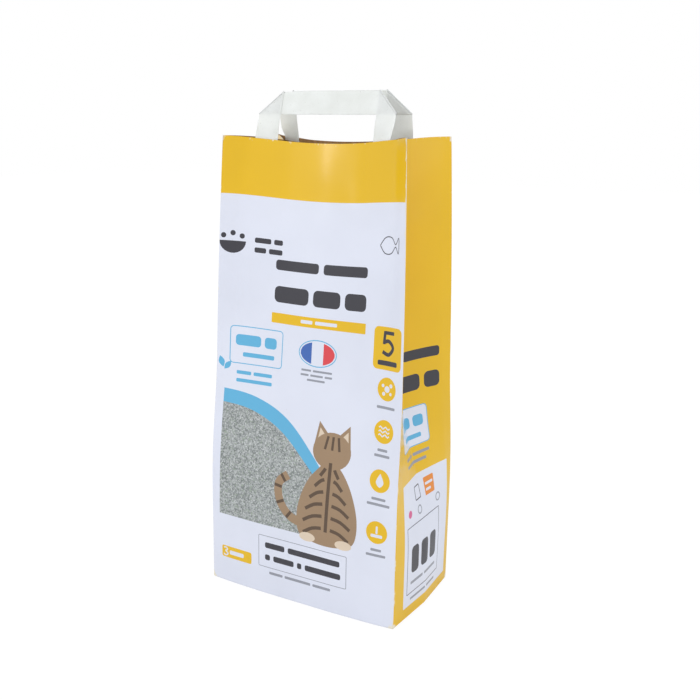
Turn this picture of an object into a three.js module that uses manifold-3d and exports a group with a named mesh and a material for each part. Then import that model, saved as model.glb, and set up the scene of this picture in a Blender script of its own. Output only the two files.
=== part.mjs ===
// A paper bag of cat litter, standing open: a gusseted tube of heavy paper with a folded
// block bottom, two flat handles of folded paper glued inside the mouth under reinforcing
// patches, and the clay granules that fill its lower part.
// Millimetres, +Z up. The origin is the middle of the base, on the surface the bag stands
// on, and the printed front panel faces -Y.

import * as THREE from 'three';
import { mergeVertices } from 'three/addons/utils/BufferGeometryUtils.js';
import Module from 'manifold-3d';

const wasm = await Module();
wasm.setup();

// The paper tube, measured flat
const PANEL_WIDTH = 211.5;        // front and back panels, fold to fold
const GUSSET_WIDTH = 121;         // side panels, fold to fold
const TUBE_HEIGHT = 451;          // surface it stands on to the rim
const WALL = 0.6;                 // plies of the wall pressed together
const CLEARANCE = 0.3;            // between pieces that lie on each other

// The folded bottom
const BASE_THICKNESS = 2.4;       // all its layers
const FLAP_STEP = 0.4;            // from one layer to the next, seen from below
const FLAP_OVERLAP = 15;          // front flap, past the middle of the base
const BASE_FOLD_RADIUS = 1.5;
const TIGHT_FOLD = 6;             // inside a sharp fold the two walls touch for this far

// How the bag stands
const GUSSET_FOLD = 38.6;         // degrees that each gusset half has turned in at the rim
const GUSSET_FIRST_FOLD = 27;     // degrees that it has turned in just above the filling
const GUSSET_SWELL = 3.5;         // degrees that it is pushed out by the filling at the base
const GUSSET_FLAT_BELOW = 60;     // height at which the gusset starts to turn in
const GUSSET_FOLDED_ABOVE = 225;  // height from which it turns in slowly
const RIM_TURN = 44;              // degrees that a panel turns at its side folds, at the rim
const LEG_TURN = 0.42;            // share of that turn already made where a leg is glued
const BEND_LENGTH = 20;           // width over which the panel bends beside a leg
const TAPER_FROM = 70;            // height from which the panels bend in steadily
const TAPER_SHARE = 0.75;         // share of the rim's turn that comes of that
const PINCH_LENGTH = 178;         // how far below the rim the handles pull the panels in
const BELLY_TURN = 4.5;           // the same turn, outwards, where the filling pushes
const RIM_SAG = 3.5;              // the rim hangs lower in the middle of a panel
const SAG_FROM = 150;
const RIM_LEAN = new THREE.Vector2(2, 7);

// Handles and the patches that hold them
const STRIP_WIDTH = 22;           // folded paper strip of the handles
const STRIP_THICKNESS = 0.9;
const STRIP_FUSE = 0.05;          // glued layers share this much, to be one body
const STRIP_TUCK = 0.3;           // the strap's edges lie this far inside the legs' folds
const STRAP_MARGIN = 2;           // a leg's last bend is this far below the strap
const LEG_SPACING = 124;          // between the middles of a handle's legs
const HANDLE_RISE = 46.3;         // rim to the top of the handle
const HANDLE_GRIP = 42;           // length of leg glued below the rim
const HANDLE_STRAIGHTENS = 20;    // height above the rim at which a handle is flat
const FRONT_HANDLE_LEAN = 17;     // degrees from upright, towards the other handle
const BACK_HANDLE_LEAN = 11;
const FRONT_HANDLE_SHIFT = -1.5;  // of a handle's middle from the panel's middle
const BACK_HANDLE_SHIFT = -4.5;
const PATCH_WIDTH = 162;
const PATCH_HEIGHT = 48;
const PATCH_BELOW_RIM = 4;
const PATCH_THICKNESS = 0.4;
const PATCH_SLOPE = 5;            // width over which a patch comes down beside a leg

// The filling
const FILL_HEIGHT = 192;
const HEAP_HEIGHT = 9;

// How finely the curved paper is stepped
const PANEL_STEPS = 24;
const GUSSET_HALF_STEPS = 3;
const ARCH_STEPS = 24;
const RISE_STEP = 8;

const LEG_DEPTH = WALL + CLEARANCE;
const LEG_INNER = (LEG_SPACING - STRIP_WIDTH) / 2;
const LEG_OUTER = (LEG_SPACING + STRIP_WIDTH) / 2;
const STRAP_BOTTOM = HANDLE_RISE - STRIP_WIDTH;

const FRONT = -1;
const BACK = 1;
const RIGHT = 1;
const LEFT = -1;
const radians = THREE.MathUtils.degToRad;
const ease = (value, from, to) => THREE.MathUtils.smoothstep(value, from, to);
const ramp = (value, from, to) => THREE.MathUtils.clamp((value - from) / (to - from), 0, 1);

// A panel seen from above is flat in the middle and under each leg, where the glued paper
// is stiff, and bends on both sides of a leg. Its length never changes. distance is
// measured along the paper from the panel's middle.
function arch(turn, distance) {
  const step = distance / ARCH_STEPS;
  let along = 0;
  let rise = 0;
  for (let i = 0; i < ARCH_STEPS; i++) {
    const place = step * (i + 0.5);
    const inner = ease(place, LEG_INNER - BEND_LENGTH, LEG_INNER);
    const outer = ease(place, LEG_OUTER, LEG_OUTER + BEND_LENGTH);
    const angle = turn * THREE.MathUtils.lerp(outer, inner, LEG_TURN);
    along += step * Math.cos(angle);
    rise += step * Math.sin(angle);
  }
  return { along, rise };
}

function panelTurn(height) {
  const tapered = Math.sin((ramp(height, TAPER_FROM, TUBE_HEIGHT) * Math.PI) / 2);
  const pinched = ramp(height, TUBE_HEIGHT - PINCH_LENGTH, TUBE_HEIGHT) ** 2;
  const pushed = 1 - ease(height, FILL_HEIGHT * 0.6, FILL_HEIGHT * 1.3);
  return radians(RIM_TURN * THREE.MathUtils.lerp(pinched, tapered, TAPER_SHARE) - BELLY_TURN * pushed);
}

function gussetTurn(height) {
  const folded = ease(height, GUSSET_FLAT_BELOW, GUSSET_FOLDED_ABOVE);
  const tapered = ramp(height, FILL_HEIGHT, TUBE_HEIGHT);
  const first = THREE.MathUtils.lerp(-GUSSET_SWELL, GUSSET_FIRST_FOLD, folded);
  return radians(first + (GUSSET_FOLD - GUSSET_FIRST_FOLD) * tapered);
}

// Where the paper is in plan at one height. place runs from -half to half of the panel's
// or gusset's width, along +X on the panels and along +Y on the gussets.
const panel = (side) => Object.assign((place, height) => {
  const turn = panelTurn(height);
  const halfDepth = (GUSSET_WIDTH / 2) * Math.cos(gussetTurn(height));
  const here = arch(turn, Math.abs(place));
  const pulledIn = arch(turn, PANEL_WIDTH / 2).rise - here.rise;
  return new THREE.Vector2(Math.sign(place) * here.along, side * (halfDepth - pulledIn));
}, { sags: true });

const gusset = (side) => (place, height) => {
  const turn = gussetTurn(height);
  const corner = arch(panelTurn(height), PANEL_WIDTH / 2).along;
  const fromCorner = GUSSET_WIDTH / 2 - Math.abs(place);
  return new THREE.Vector2(side * (corner - fromCorner * Math.sin(turn)), place * Math.cos(turn));
};

// A point of the paper's outer face in space. The paper doesn't stretch upwards either,
// so each step up it is a little less than a step in height where the wall slopes. The
// middle of a panel also hangs a little lower than its folds.
function paper(wall, place, height) {
  const steps = Math.max(1, Math.ceil(height / RISE_STEP));
  const step = height / steps;
  const leaning = (h) => wall(place, h).addScaledVector(RIM_LEAN, h / TUBE_HEIGHT);
  let last = leaning(0);
  let z = 0;
  for (let i = 1; i <= steps; i++) {
    const next = leaning(step * i);
    z += Math.sqrt(step ** 2 - next.distanceToSquared(last));
    last = next;
  }
  const middle = wall.sags ? Math.cos((Math.PI * place) / PANEL_WIDTH) ** 2 : 0;
  return new THREE.Vector3(last.x, last.y, z - RIM_SAG * middle * ease(height, SAG_FROM, TUBE_HEIGHT));
}

// The stations round the tube, anticlockwise from above, starting at the front left fold
const stations = [];
function addStations(wall, from, to, count) {
  for (let i = 0; i < count; i++) {
    stations.push({ wall, place: THREE.MathUtils.lerp(from, to, i / count) });
  }
}
addStations(panel(FRONT), -PANEL_WIDTH / 2, PANEL_WIDTH / 2, PANEL_STEPS);
addStations(gusset(RIGHT), -GUSSET_WIDTH / 2, GUSSET_WIDTH / 2, 2 * GUSSET_HALF_STEPS);
addStations(panel(BACK), PANEL_WIDTH / 2, -PANEL_WIDTH / 2, PANEL_STEPS);
addStations(gusset(LEFT), GUSSET_WIDTH / 2, -GUSSET_WIDTH / 2, 2 * GUSSET_HALF_STEPS);

// One ring round the tube at a height, moved in from the outer face with mitred corners
function ring(height, inset, z) {
  const points = stations.map(({ wall, place }) => paper(wall, place, height));
  const normals = points.map((point, i) => {
    const next = points[(i + 1) % points.length];
    return new THREE.Vector2(point.y - next.y, next.x - point.x).normalize();
  });
  return points.map((point, i) => {
    const before = normals.at(i - 1);
    const after = normals[i];
    const mitre = before.clone().add(after).multiplyScalar(inset / (1 + before.dot(after)));
    mitre.clampLength(0, TIGHT_FOLD);
    return new THREE.Vector3(point.x + mitre.x, point.y + mitre.y, z ?? point.z);
  });
}

function geometryFrom(points, faces) {
  const geometry = new THREE.BufferGeometry().setFromPoints(points);
  geometry.setIndex(faces.flat());
  return geometry;
}

// A closed body from a pile of rings, closed at both ends by a fan round a middle point.
// The diagonals run the same way on the outside and the inside of a wall, so its faces and
// what lies on them stay parallel.
function pileOfRings(rings, firstMiddle, lastMiddle) {
  const count = rings[0].length;
  const points = [...rings.flat(), firstMiddle, lastMiddle];
  const first = points.length - 2;
  const last = points.length - 1;
  const top = (rings.length - 1) * count;
  const faces = [];
  for (let i = 0; i < count; i++) {
    const j = (i + 1) % count;
    faces.push([first, j, i], [last, top + i, top + j]);
    for (let row = 0; row < top; row += count) {
      const [a, b, c, d] = [row + i, row + j, row + count + j, row + count + i];
      const rises = points[d].z > points[a].z;
      faces.push(...(rises ? [[a, b, c], [a, c, d]] : [[a, b, d], [b, c, d]]));
    }
  }
  return geometryFrom(points, faces);
}

// A closed plate over a grid. at(column, row, layer) gives its points, with layer 0 on the
// side that looks out of the bag.
function plate(columns, rows, side, at) {
  const points = [];
  const index = (column, row, layer) => (row * columns + column) * 2 + layer;
  for (let row = 0; row < rows; row++) {
    for (let column = 0; column < columns; column++) points.push(at(column, row, 0), at(column, row, 1));
  }
  const faces = [];
  const quad = (a, b, c, d) => {
    faces.push(...(side === FRONT ? [[a, b, c], [a, c, d]] : [[c, b, a], [d, c, a]]));
  };
  const right = columns - 1;
  const top = rows - 1;
  for (let i = 0; i < right; i++) {
    for (let j = 0; j < top; j++) {
      quad(index(i, j, 0), index(i + 1, j, 0), index(i + 1, j + 1, 0), index(i, j + 1, 0));
      quad(index(i, j, 1), index(i, j + 1, 1), index(i + 1, j + 1, 1), index(i + 1, j, 1));
    }
    quad(index(i, 0, 1), index(i + 1, 0, 1), index(i + 1, 0, 0), index(i, 0, 0));
    quad(index(i, top, 0), index(i + 1, top, 0), index(i + 1, top, 1), index(i, top, 1));
  }
  for (let j = 0; j < top; j++) {
    quad(index(0, j, 1), index(0, j, 0), index(0, j + 1, 0), index(0, j + 1, 1));
    quad(index(right, j, 0), index(right, j, 1), index(right, j + 1, 1), index(right, j + 1, 0));
  }
  return geometryFrom(points, faces);
}

function solid(geometry) {
  const bare = mergeVertices(geometry.deleteAttribute('normal').deleteAttribute('uv'));
  return new wasm.Manifold(new wasm.Mesh({
    numProp: 3,
    vertProperties: new Float32Array(bare.attributes.position.array),
    triVerts: new Uint32Array(bare.index.array),
  }));
}

function geometryOf(body) {
  const mesh = body.getMesh();
  const geometry = new THREE.BufferGeometry();
  geometry.setAttribute('position', new THREE.BufferAttribute(mesh.vertProperties, 3));
  geometry.setIndex(new THREE.BufferAttribute(mesh.triVerts, 1));
  return geometry;
}

// The folded bottom from below: the front flap lies outermost, the back flap one layer
// above it, and the two side triangles under both. The folds run at 45 degrees from the
// corners, so the layers above are reached by cutting away shallow prisms.
function bottomCuts() {
  const overhang = 5;
  const halfWidth = PANEL_WIDTH / 2;
  const halfDepth = GUSSET_WIDTH / 2;
  const apex = halfWidth - halfDepth;
  const prism = (corners, depth) => {
    const shape = new THREE.Shape(corners.map(([x, y]) => new THREE.Vector2(x, y)));
    const cut = new THREE.ExtrudeGeometry(shape, { depth: depth + overhang, bevelEnabled: false });
    return solid(cut.translate(0, 0, -overhang));
  };
  const outX = halfWidth + overhang;
  const outY = halfDepth + overhang;
  return [
    prism([[apex, 0], [outX, -outY], [outX, outY]], 2 * FLAP_STEP),
    prism([[-apex, 0], [-outX, outY], [-outX, -outY]], 2 * FLAP_STEP),
    prism([[apex, 0], [outX, outY], [-outX, outY], [-apex, 0], [-apex, FLAP_OVERLAP], [apex, FLAP_OVERLAP]],
      FLAP_STEP),
  ];
}

// Heights of the rings: few on the flat base, more where the gusset folds in, most where
// the handles pull the panels together
function wallHeights() {
  const zones = [
    [BASE_THICKNESS, GUSSET_FLAT_BELOW, 3],
    [GUSSET_FLAT_BELOW, FILL_HEIGHT, 6],
    [FILL_HEIGHT, GUSSET_FOLDED_ABOVE, 4],
    [GUSSET_FOLDED_ABOVE, TUBE_HEIGHT, 18],
  ];
  const heights = [];
  for (const [from, to, count] of zones) {
    for (let i = 0; i < count; i++) heights.push(THREE.MathUtils.lerp(from, to, i / count));
  }
  return [...heights, TUBE_HEIGHT];
}

function bagBody() {
  const heights = wallHeights();
  const outside = [
    ring(0, BASE_FOLD_RADIUS, 0),
    ring(0, BASE_FOLD_RADIUS * 0.3, BASE_FOLD_RADIUS * 0.3),
    ring(0, 0, BASE_FOLD_RADIUS),
    ...heights.map((height) => ring(height, 0)),
  ];
  const inside = heights.map((height) => ring(height, WALL)).reverse();
  const walls = pileOfRings([...outside, ...inside], new THREE.Vector3(),
    new THREE.Vector3(0, 0, inside.at(-1)[0].z));
  return geometryOf(bottomCuts().reduce((body, cut) => body.subtract(cut), solid(walls)));
}

// The outer face of a panel, carried on above the rim as the handle is: it leans to the
// other handle, and the panel's curl dies out of it until it is flat. rise is measured
// from the rim.
function handleFace(side, place, rise) {
  const wall = panel(side);
  if (rise <= 0) return paper(wall, place, TUBE_HEIGHT + rise);
  const rim = paper(wall, place, TUBE_HEIGHT);
  const leg = paper(wall, LEG_SPACING / 2, TUBE_HEIGHT);
  const lean = radians(side === FRONT ? FRONT_HANDLE_LEAN : BACK_HANDLE_LEAN);
  const upwards = new THREE.Vector3(0, -side * Math.sin(lean), Math.cos(lean));
  const flat = new THREE.Vector3(place + RIM_LEAN.x, leg.y, leg.z);
  return rim.lerp(flat, ease(rise, 0, HANDLE_STRAIGHTENS)).addScaledVector(upwards, rise);
}

// A point at some depth inwards from that face, with place measured from the handle's own
// middle
function insideHandleFace(side, fromMiddle, rise, depth) {
  const nudge = 0.5;
  const place = fromMiddle + (side === FRONT ? FRONT_HANDLE_SHIFT : BACK_HANDLE_SHIFT);
  const across = handleFace(side, place + nudge, rise).sub(handleFace(side, place - nudge, rise));
  const up = handleFace(side, place, rise + nudge).sub(handleFace(side, place, rise - nudge));
  const inwards = across.cross(up).normalize().multiplyScalar(side);
  return handleFace(side, place, rise).addScaledVector(inwards, depth);
}

// A leg runs from under the patch to the 45 degree fold at the handle's corner
function handleLeg(side, end) {
  const columns = end === RIGHT ? [LEG_INNER, LEG_OUTER] : [-LEG_OUTER, -LEG_INNER];
  const rises = [-1, -0.8, -0.6, -0.4, -0.2, 0].map((share) => share * HANDLE_GRIP);
  rises.push(...[0.25, 0.5, 0.75, 1].map((share) => share * (STRAP_BOTTOM - STRAP_MARGIN)));
  return plate(columns.length, rises.length + 1, side, (column, row, layer) => {
    const place = columns[column];
    const fold = HANDLE_RISE - (Math.abs(place) - LEG_INNER);
    return insideHandleFace(side, place, rises[row] ?? fold, LEG_DEPTH + layer * STRIP_THICKNESS);
  });
}

// The strap lies behind the tops of both legs, and its ends are folded with theirs
function handleStrap(side) {
  return plate(2, 2, side, (column, row, layer) => {
    const rise = row === 0 ? STRAP_BOTTOM : HANDLE_RISE - STRIP_TUCK;
    const end = LEG_INNER + (HANDLE_RISE - rise) - STRIP_TUCK;
    const depth = LEG_DEPTH + (1 + layer) * STRIP_THICKNESS - (1 - layer) * STRIP_FUSE;
    return insideHandleFace(side, column === 0 ? -end : end, rise, depth);
  });
}

function handle(side) {
  const legs = [LEFT, RIGHT].map((end) => solid(handleLeg(side, end)));
  return geometryOf(legs.reduce((body, leg) => body.add(leg), solid(handleStrap(side))));
}

// A patch follows the panel, and stands up over the legs by their thickness
function handlePatch(side) {
  const over = 1;
  const legSpan = [LEG_INNER - over, LEG_OUTER + over];
  const spread = (from, to, count) => {
    return Array.from({ length: count + 1 }, (_, i) => THREE.MathUtils.lerp(from, to, i / count));
  };
  const right = [
    ...spread(0, legSpan[0] - PATCH_SLOPE, 5),
    ...spread(...legSpan, 4),
    legSpan[1] + PATCH_SLOPE,
    PATCH_WIDTH / 2,
  ];
  const columns = [...right.slice(1).reverse().map((place) => -place), ...right];
  const legEnd = -HANDLE_GRIP - over;
  const lowest = -PATCH_BELOW_RIM - PATCH_HEIGHT;
  const rises = [lowest, legEnd - PATCH_SLOPE, legEnd];
  for (let i = 1; i <= 4; i++) rises.push(THREE.MathUtils.lerp(legEnd, -PATCH_BELOW_RIM, i / 4));
  return plate(columns.length, rises.length, side, (column, row, layer) => {
    const place = Math.abs(columns[column]);
    const overLeg = place >= legSpan[0] && place <= legSpan[1] && rises[row] >= legEnd;
    const lift = overLeg ? STRIP_THICKNESS + CLEARANCE : 0;
    return insideHandleFace(side, columns[column], rises[row], LEG_DEPTH + lift + layer * PATCH_THICKNESS);
  });
}

// The granules fill the tube to FILL_HEIGHT and lie in a low uneven heap
function litter() {
  const low = BASE_THICKNESS + CLEARANCE;
  const inset = WALL + CLEARANCE;
  const heights = [low, ...wallHeights().filter((height) => height > low && height <= FILL_HEIGHT)];
  const rings = heights.map((height) => ring(height, inset));
  const edge = rings.at(-1);
  const lean = RIM_LEAN.clone().multiplyScalar(FILL_HEIGHT / TUBE_HEIGHT);
  const middle = new THREE.Vector3(lean.x, lean.y, edge[0].z);
  const heaped = (share) => HEAP_HEIGHT * Math.cos((share * Math.PI) / 2);
  for (const share of [0.85, 0.6, 0.3]) {
    const unevenness = share * (1 - share) * HEAP_HEIGHT;
    rings.push(edge.map((point, i) => {
      const wave = Math.sin((6 * Math.PI * i) / edge.length + 4 * share) * unevenness;
      return middle.clone().lerp(point, share).setZ(middle.z + heaped(share) + wave);
    }));
  }
  return pileOfRings(rings, new THREE.Vector3(0, 0, rings[0][0].z), middle.setZ(middle.z + heaped(0)));
}

function finish(color, roughness) {
  return new THREE.MeshStandardMaterial({ color, roughness, metalness: 0 });
}

const printedPaper = finish(0xe7be2e, 0.45);
const whitePaper = finish(0xe8e9e4, 0.6);
const kraftPaper = finish(0xb58a58, 0.85);
const clayGranules = finish(0xb9b7b0, 0.95);

const bag = new THREE.Group();
function addPiece(name, geometry, material) {
  const mesh = new THREE.Mesh(geometry, material);
  mesh.name = name;
  bag.add(mesh);
}

addPiece('bag_body', bagBody(), printedPaper);
addPiece('front_handle', handle(FRONT), whitePaper);
addPiece('back_handle', handle(BACK), whitePaper);
addPiece('front_handle_patch', handlePatch(FRONT), kraftPaper);
addPiece('back_handle_patch', handlePatch(BACK), kraftPaper);
addPiece('clay_litter', litter(), clayGranules);

export default bag;
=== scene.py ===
# %% [markdown]
# # A paper bag of cat litter
#
# This lesson dresses a measured model of a litter bag. The model gives every piece its
# size and place. Here the paper gets its print, its brown inside, its folds and its wear,
# the handles get their layers, and loose granules fill the bottom.

# %% Load the measured model
import math
import random

import bmesh
import bpy
import numpy as np
from mathutils import Matrix, Vector
from mathutils.geometry import delaunay_2d_cdt, tessellate_polygon


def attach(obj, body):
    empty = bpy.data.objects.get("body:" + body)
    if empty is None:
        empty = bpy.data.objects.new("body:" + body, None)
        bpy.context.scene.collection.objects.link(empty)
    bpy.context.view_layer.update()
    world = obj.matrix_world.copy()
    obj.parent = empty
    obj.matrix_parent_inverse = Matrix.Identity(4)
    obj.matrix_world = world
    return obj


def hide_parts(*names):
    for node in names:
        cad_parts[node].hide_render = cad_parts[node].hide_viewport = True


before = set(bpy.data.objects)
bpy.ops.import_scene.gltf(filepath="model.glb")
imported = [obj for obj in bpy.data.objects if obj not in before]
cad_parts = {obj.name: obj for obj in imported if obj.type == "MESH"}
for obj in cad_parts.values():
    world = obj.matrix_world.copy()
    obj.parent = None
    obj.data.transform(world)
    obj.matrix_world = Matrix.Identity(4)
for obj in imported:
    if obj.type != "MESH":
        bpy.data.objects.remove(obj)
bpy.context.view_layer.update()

# %% [markdown]
# The bag is drawn in millimetres and in the terms of its maker: panels, gussets and folds.
# Blender works in metres, so one factor turns the finished points into Blender's units.

# %% Sizes of the paper tube
MM = 0.001
PANEL_WIDTH = 211.5
GUSSET_WIDTH = 121.0
TUBE_HEIGHT = 451.0
FILL_HEIGHT = 192.0
PAPER_THICKNESS = 0.45
FOLD_ROUNDING = 1.6
tube_girth = 2 * (PANEL_WIDTH + GUSSET_WIDTH)
print("girth of the tube", tube_girth, "mm")

# %% [markdown]
# The camera stands a little above the middle of the bag and about 30 degrees round to its
# right, so the front panel and the right gusset both show. A camera can be aimed with a
# constraint, but here its three axes are written out, because the lens and the place were
# solved together from the bag's corners and the slight roll matters too.

# %% Camera
CAMERA_PLACE = Vector((454.5, -760.5, 462.4)) * MM
CAMERA_TURN, CAMERA_DIP, CAMERA_ROLL = (math.radians(a) for a in (29.6, 13.8, 0.42))
LENS_LENGTH = 47.57
SENSOR_WIDTH = 36.0
NEAREST_SEEN = 0.01

def add_object(name, data):
    """Every piece, lamp and camera comes into the scene this way."""
    holder = bpy.data.objects.new(name, data)
    bpy.context.scene.collection.objects.link(holder)
    return holder

def camera_axes():
    forward = Vector((
        -math.sin(CAMERA_TURN) * math.cos(CAMERA_DIP),
        math.cos(CAMERA_TURN) * math.cos(CAMERA_DIP),
        -math.sin(CAMERA_DIP),
    ))
    right = Vector((math.cos(CAMERA_TURN), math.sin(CAMERA_TURN), 0))
    up = right.cross(forward)
    rolled_right = right * math.cos(CAMERA_ROLL) + up * math.sin(CAMERA_ROLL)
    rolled_up = up * math.cos(CAMERA_ROLL) - right * math.sin(CAMERA_ROLL)
    return rolled_right, rolled_up, -forward

camera = add_object("camera", bpy.data.cameras.new("camera"))
bpy.context.scene.camera = camera
camera.data.sensor_width = SENSOR_WIDTH
camera.data.lens = LENS_LENGTH
camera.data.clip_start = NEAREST_SEEN
camera.matrix_world = Matrix.Translation(CAMERA_PLACE) @ Matrix(camera_axes()).transposed().to_4x4()
print("camera at", tuple(round(c, 3) for c in CAMERA_PLACE))

# %% [markdown]
# The room is a plain studio. A large pale floor catches a soft shadow. A wide lamp in front
# gives the paper its shape, one on the right keeps the gusset bright, and a narrow strip on
# the left draws the upright highlight on the yellow band. What the camera sees of the floor
# and the world is nearly white by itself, so no extra light has to fall on the bag for a
# white background.

# %% Floor
FLOOR_SIZE = 12.0
FLOOR_GAP = 0.0002
FLOOR_GLOW = 1.06
FLOOR_GLOW_SHARE = 0.86

def seen_directly(nodes, links):
    path = nodes.new("ShaderNodeLightPath")
    either = nodes.new("ShaderNodeMath")
    either.operation = "MAXIMUM"
    links.new(path.outputs["Is Camera Ray"], either.inputs[0])
    links.new(path.outputs["Is Transmission Ray"], either.inputs[1])
    return either.outputs[0]

def mix_shaders(nodes, links, share, first, second):
    mix = nodes.new("ShaderNodeMixShader")
    for socket, source in enumerate((share, first.outputs[0], second.outputs[0])):
        links.new(source, mix.inputs[socket])
    return mix.outputs[0]

def floor_finish():
    material = bpy.data.materials.new("studio_floor")
    material.use_nodes = True
    nodes, links = material.node_tree.nodes, material.node_tree.links
    paint = nodes["Principled BSDF"]
    paint.inputs["Base Color"].default_value = (0.9, 0.9, 0.9, 1)
    paint.inputs["Roughness"].default_value = 0.9
    glow = nodes.new("ShaderNodeEmission")
    glow.inputs["Strength"].default_value = FLOOR_GLOW
    share = nodes.new("ShaderNodeMath")
    share.operation = "MULTIPLY"
    share.inputs[1].default_value = FLOOR_GLOW_SHARE
    links.new(seen_directly(nodes, links), share.inputs[0])
    shown = mix_shaders(nodes, links, share.outputs[0], paint, glow)
    links.new(shown, nodes["Material Output"].inputs["Surface"])
    return material

floor = add_object("floor", bpy.data.meshes.new("floor"))
half = FLOOR_SIZE / 2
floor_corners = [(-half, -half, 0), (half, -half, 0), (half, half, 0), (-half, half, 0)]
floor.data.from_pydata(floor_corners, [], [(0, 1, 2, 3)])
floor.data.materials.append(floor_finish())
floor.location.z = -FLOOR_GAP
print("floor", FLOOR_SIZE, "m wide")

# %% Room and lamps
ROOM_COLOUR = (0.93, 0.96, 1.0, 1)
ROOM_STRENGTH = 0.92
MIDDLE_OF_BAG = (0, 0, 0.25)
YELLOW_BAND = (0, -0.04, 0.42)
LAMPS = (
    ("key_light", (-0.2, -2.0, 1.45), MIDDLE_OF_BAG, (2.0, 1.4), 5.0),
    ("side_light", (1.85, -0.45, 1.0), MIDDLE_OF_BAG, (1.2, 1.2), 4.6),
    ("strip_light", (-0.99, -1.54, 1.02), YELLOW_BAND, (0.07, 0.6), 3.0),
)

def background(nodes, colour, strength):
    node = nodes.new("ShaderNodeBackground")
    node.inputs["Color"].default_value = colour
    node.inputs["Strength"].default_value = strength
    return node

def lamp(name, place, aim, size, watts):
    light = bpy.data.lights.new(name, "AREA")
    light.shape = "RECTANGLE"
    light.size, light.size_y = size
    light.energy = watts
    holder = add_object(name, light)
    holder.location = place
    holder.rotation_euler = (Vector(aim) - Vector(place)).to_track_quat("-Z", "Y").to_euler()

world = bpy.data.worlds.new("studio")
bpy.context.scene.world = world
world.use_nodes = True
sky, sky_links = world.node_tree.nodes, world.node_tree.links
room = background(sky, ROOM_COLOUR, ROOM_STRENGTH)
backdrop = background(sky, (1, 1, 1, 1), 1.0)
around = mix_shaders(sky, sky_links, seen_directly(sky, sky_links), room, backdrop)
sky_links.new(around, sky["World Output"].inputs["Surface"])
for settings in LAMPS:
    lamp(*settings)
bpy.context.scene.view_settings.view_transform = "Standard"
print("world and", len(LAMPS), "lamps")

# %% [markdown]
# Paper bends but does not stretch, and that gives the bag its form. Seen from above, a
# panel stays flat where the handles are glued and bends beside them. A gusset stays flat in
# its two halves and folds inwards along its middle. A bag like this could be draped by a
# cloth simulation, but its folds would wander. It is computed instead: one rule says how
# far every bend has turned at each height, and the points follow by adding up short steps.

# %% How far the paper has turned at each height
RIM_TURN = 44.0
TAPER_FROM = 70.0
TAPER_SHARE = 0.75
PINCH_LENGTH = 178.0
BELLY_TURN = 4.5
GUSSET_FOLD = 38.6
GUSSET_FIRST_FOLD = 27.0
GUSSET_SWELL = 3.5
GUSSET_FLAT_BELOW = 60.0
GUSSET_FOLDED_ABOVE = 225.0

def ramp(value, start, end):
    return np.clip((value - start) / (end - start), 0, 1)

def ease(value, start, end):
    share = ramp(value, start, end)
    return share * share * (3 - 2 * share)

def panel_turn(height):
    tapered = np.sin(ramp(height, TAPER_FROM, TUBE_HEIGHT) * np.pi / 2)
    pinched = ramp(height, TUBE_HEIGHT - PINCH_LENGTH, TUBE_HEIGHT) ** 2
    pushed = 1 - ease(height, FILL_HEIGHT * 0.6, FILL_HEIGHT * 1.3)
    turn = RIM_TURN * (pinched + (tapered - pinched) * TAPER_SHARE)
    return np.radians(turn - BELLY_TURN * pushed)

def gusset_turn(height):
    folded = ease(height, GUSSET_FLAT_BELOW, GUSSET_FOLDED_ABOVE)
    first = (GUSSET_FIRST_FOLD + GUSSET_SWELL) * folded - GUSSET_SWELL
    rest = (GUSSET_FOLD - GUSSET_FIRST_FOLD) * ramp(height, FILL_HEIGHT, TUBE_HEIGHT)
    return np.radians(first + rest)

for height in (0, 200, 451):
    print("at", height, "mm a panel has turned", round(math.degrees(panel_turn(height)), 1),
          "and a gusset", round(math.degrees(gusset_turn(height)), 1), "degrees")

# %% [markdown]
# A panel's outline from above is the sum of many short straight steps, each turned a
# little more than the last. Both handle legs are 22 mm wide and stiff with glue, so
# nothing bends under them.

# %% Outline of a panel and a gusset from above
LEG_SPACING = 124.0
STRIP_WIDTH = 22.0
LEG_TURN = 0.42
BEND_LENGTH = 20.0
ARCH_STEPS = 24
leg_inner = (LEG_SPACING - STRIP_WIDTH) / 2
leg_outer = (LEG_SPACING + STRIP_WIDTH) / 2
FRONT, BACK, RIGHT, LEFT = -1, 1, 1, -1

def arch(turn, distance):
    step = distance / ARCH_STEPS
    along = rise = 0
    for i in range(ARCH_STEPS):
        place = step * (i + 0.5)
        inner = ease(place, leg_inner - BEND_LENGTH, leg_inner)
        outer = ease(place, leg_outer, leg_outer + BEND_LENGTH)
        angle = turn * (outer + (inner - outer) * LEG_TURN)
        along = along + step * np.cos(angle)
        rise = rise + step * np.sin(angle)
    return along, rise

def panel_outline(side, place, height):
    turn = panel_turn(height)
    half_depth = GUSSET_WIDTH / 2 * np.cos(gusset_turn(height))
    along, rise = arch(turn, np.abs(place))
    pulled_in = arch(turn, PANEL_WIDTH / 2)[1] - rise
    return np.sign(place) * along, side * (half_depth - pulled_in)

def gusset_outline(side, place, height):
    turn = gusset_turn(height)
    corner = arch(panel_turn(height), PANEL_WIDTH / 2)[0]
    from_corner = GUSSET_WIDTH / 2 - np.abs(place)
    return side * (corner - from_corner * np.sin(turn)), place * np.cos(turn)

rim_corner = panel_outline(FRONT, PANEL_WIDTH / 2, TUBE_HEIGHT)
print("corner of the panel at the rim", [round(float(v), 1) for v in rim_corner])

# %% [markdown]
# Upwards the paper keeps its length as well. Going up by small steps, each step's rise is
# what is left of its length after the sideways move. The middle of each panel hangs a
# little lower than its folds, and the whole bag leans back slightly. The sums are done once
# for a fine table of places on each wall, and every later point is read from that table.

# %% Table of each wall in space
RIM_SAG = 3.5
SAG_FROM = 150.0
RIM_LEAN = (2.0, 7.0)
TABLE_STEP = 0.5
TABLE_RISES = 150

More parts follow.
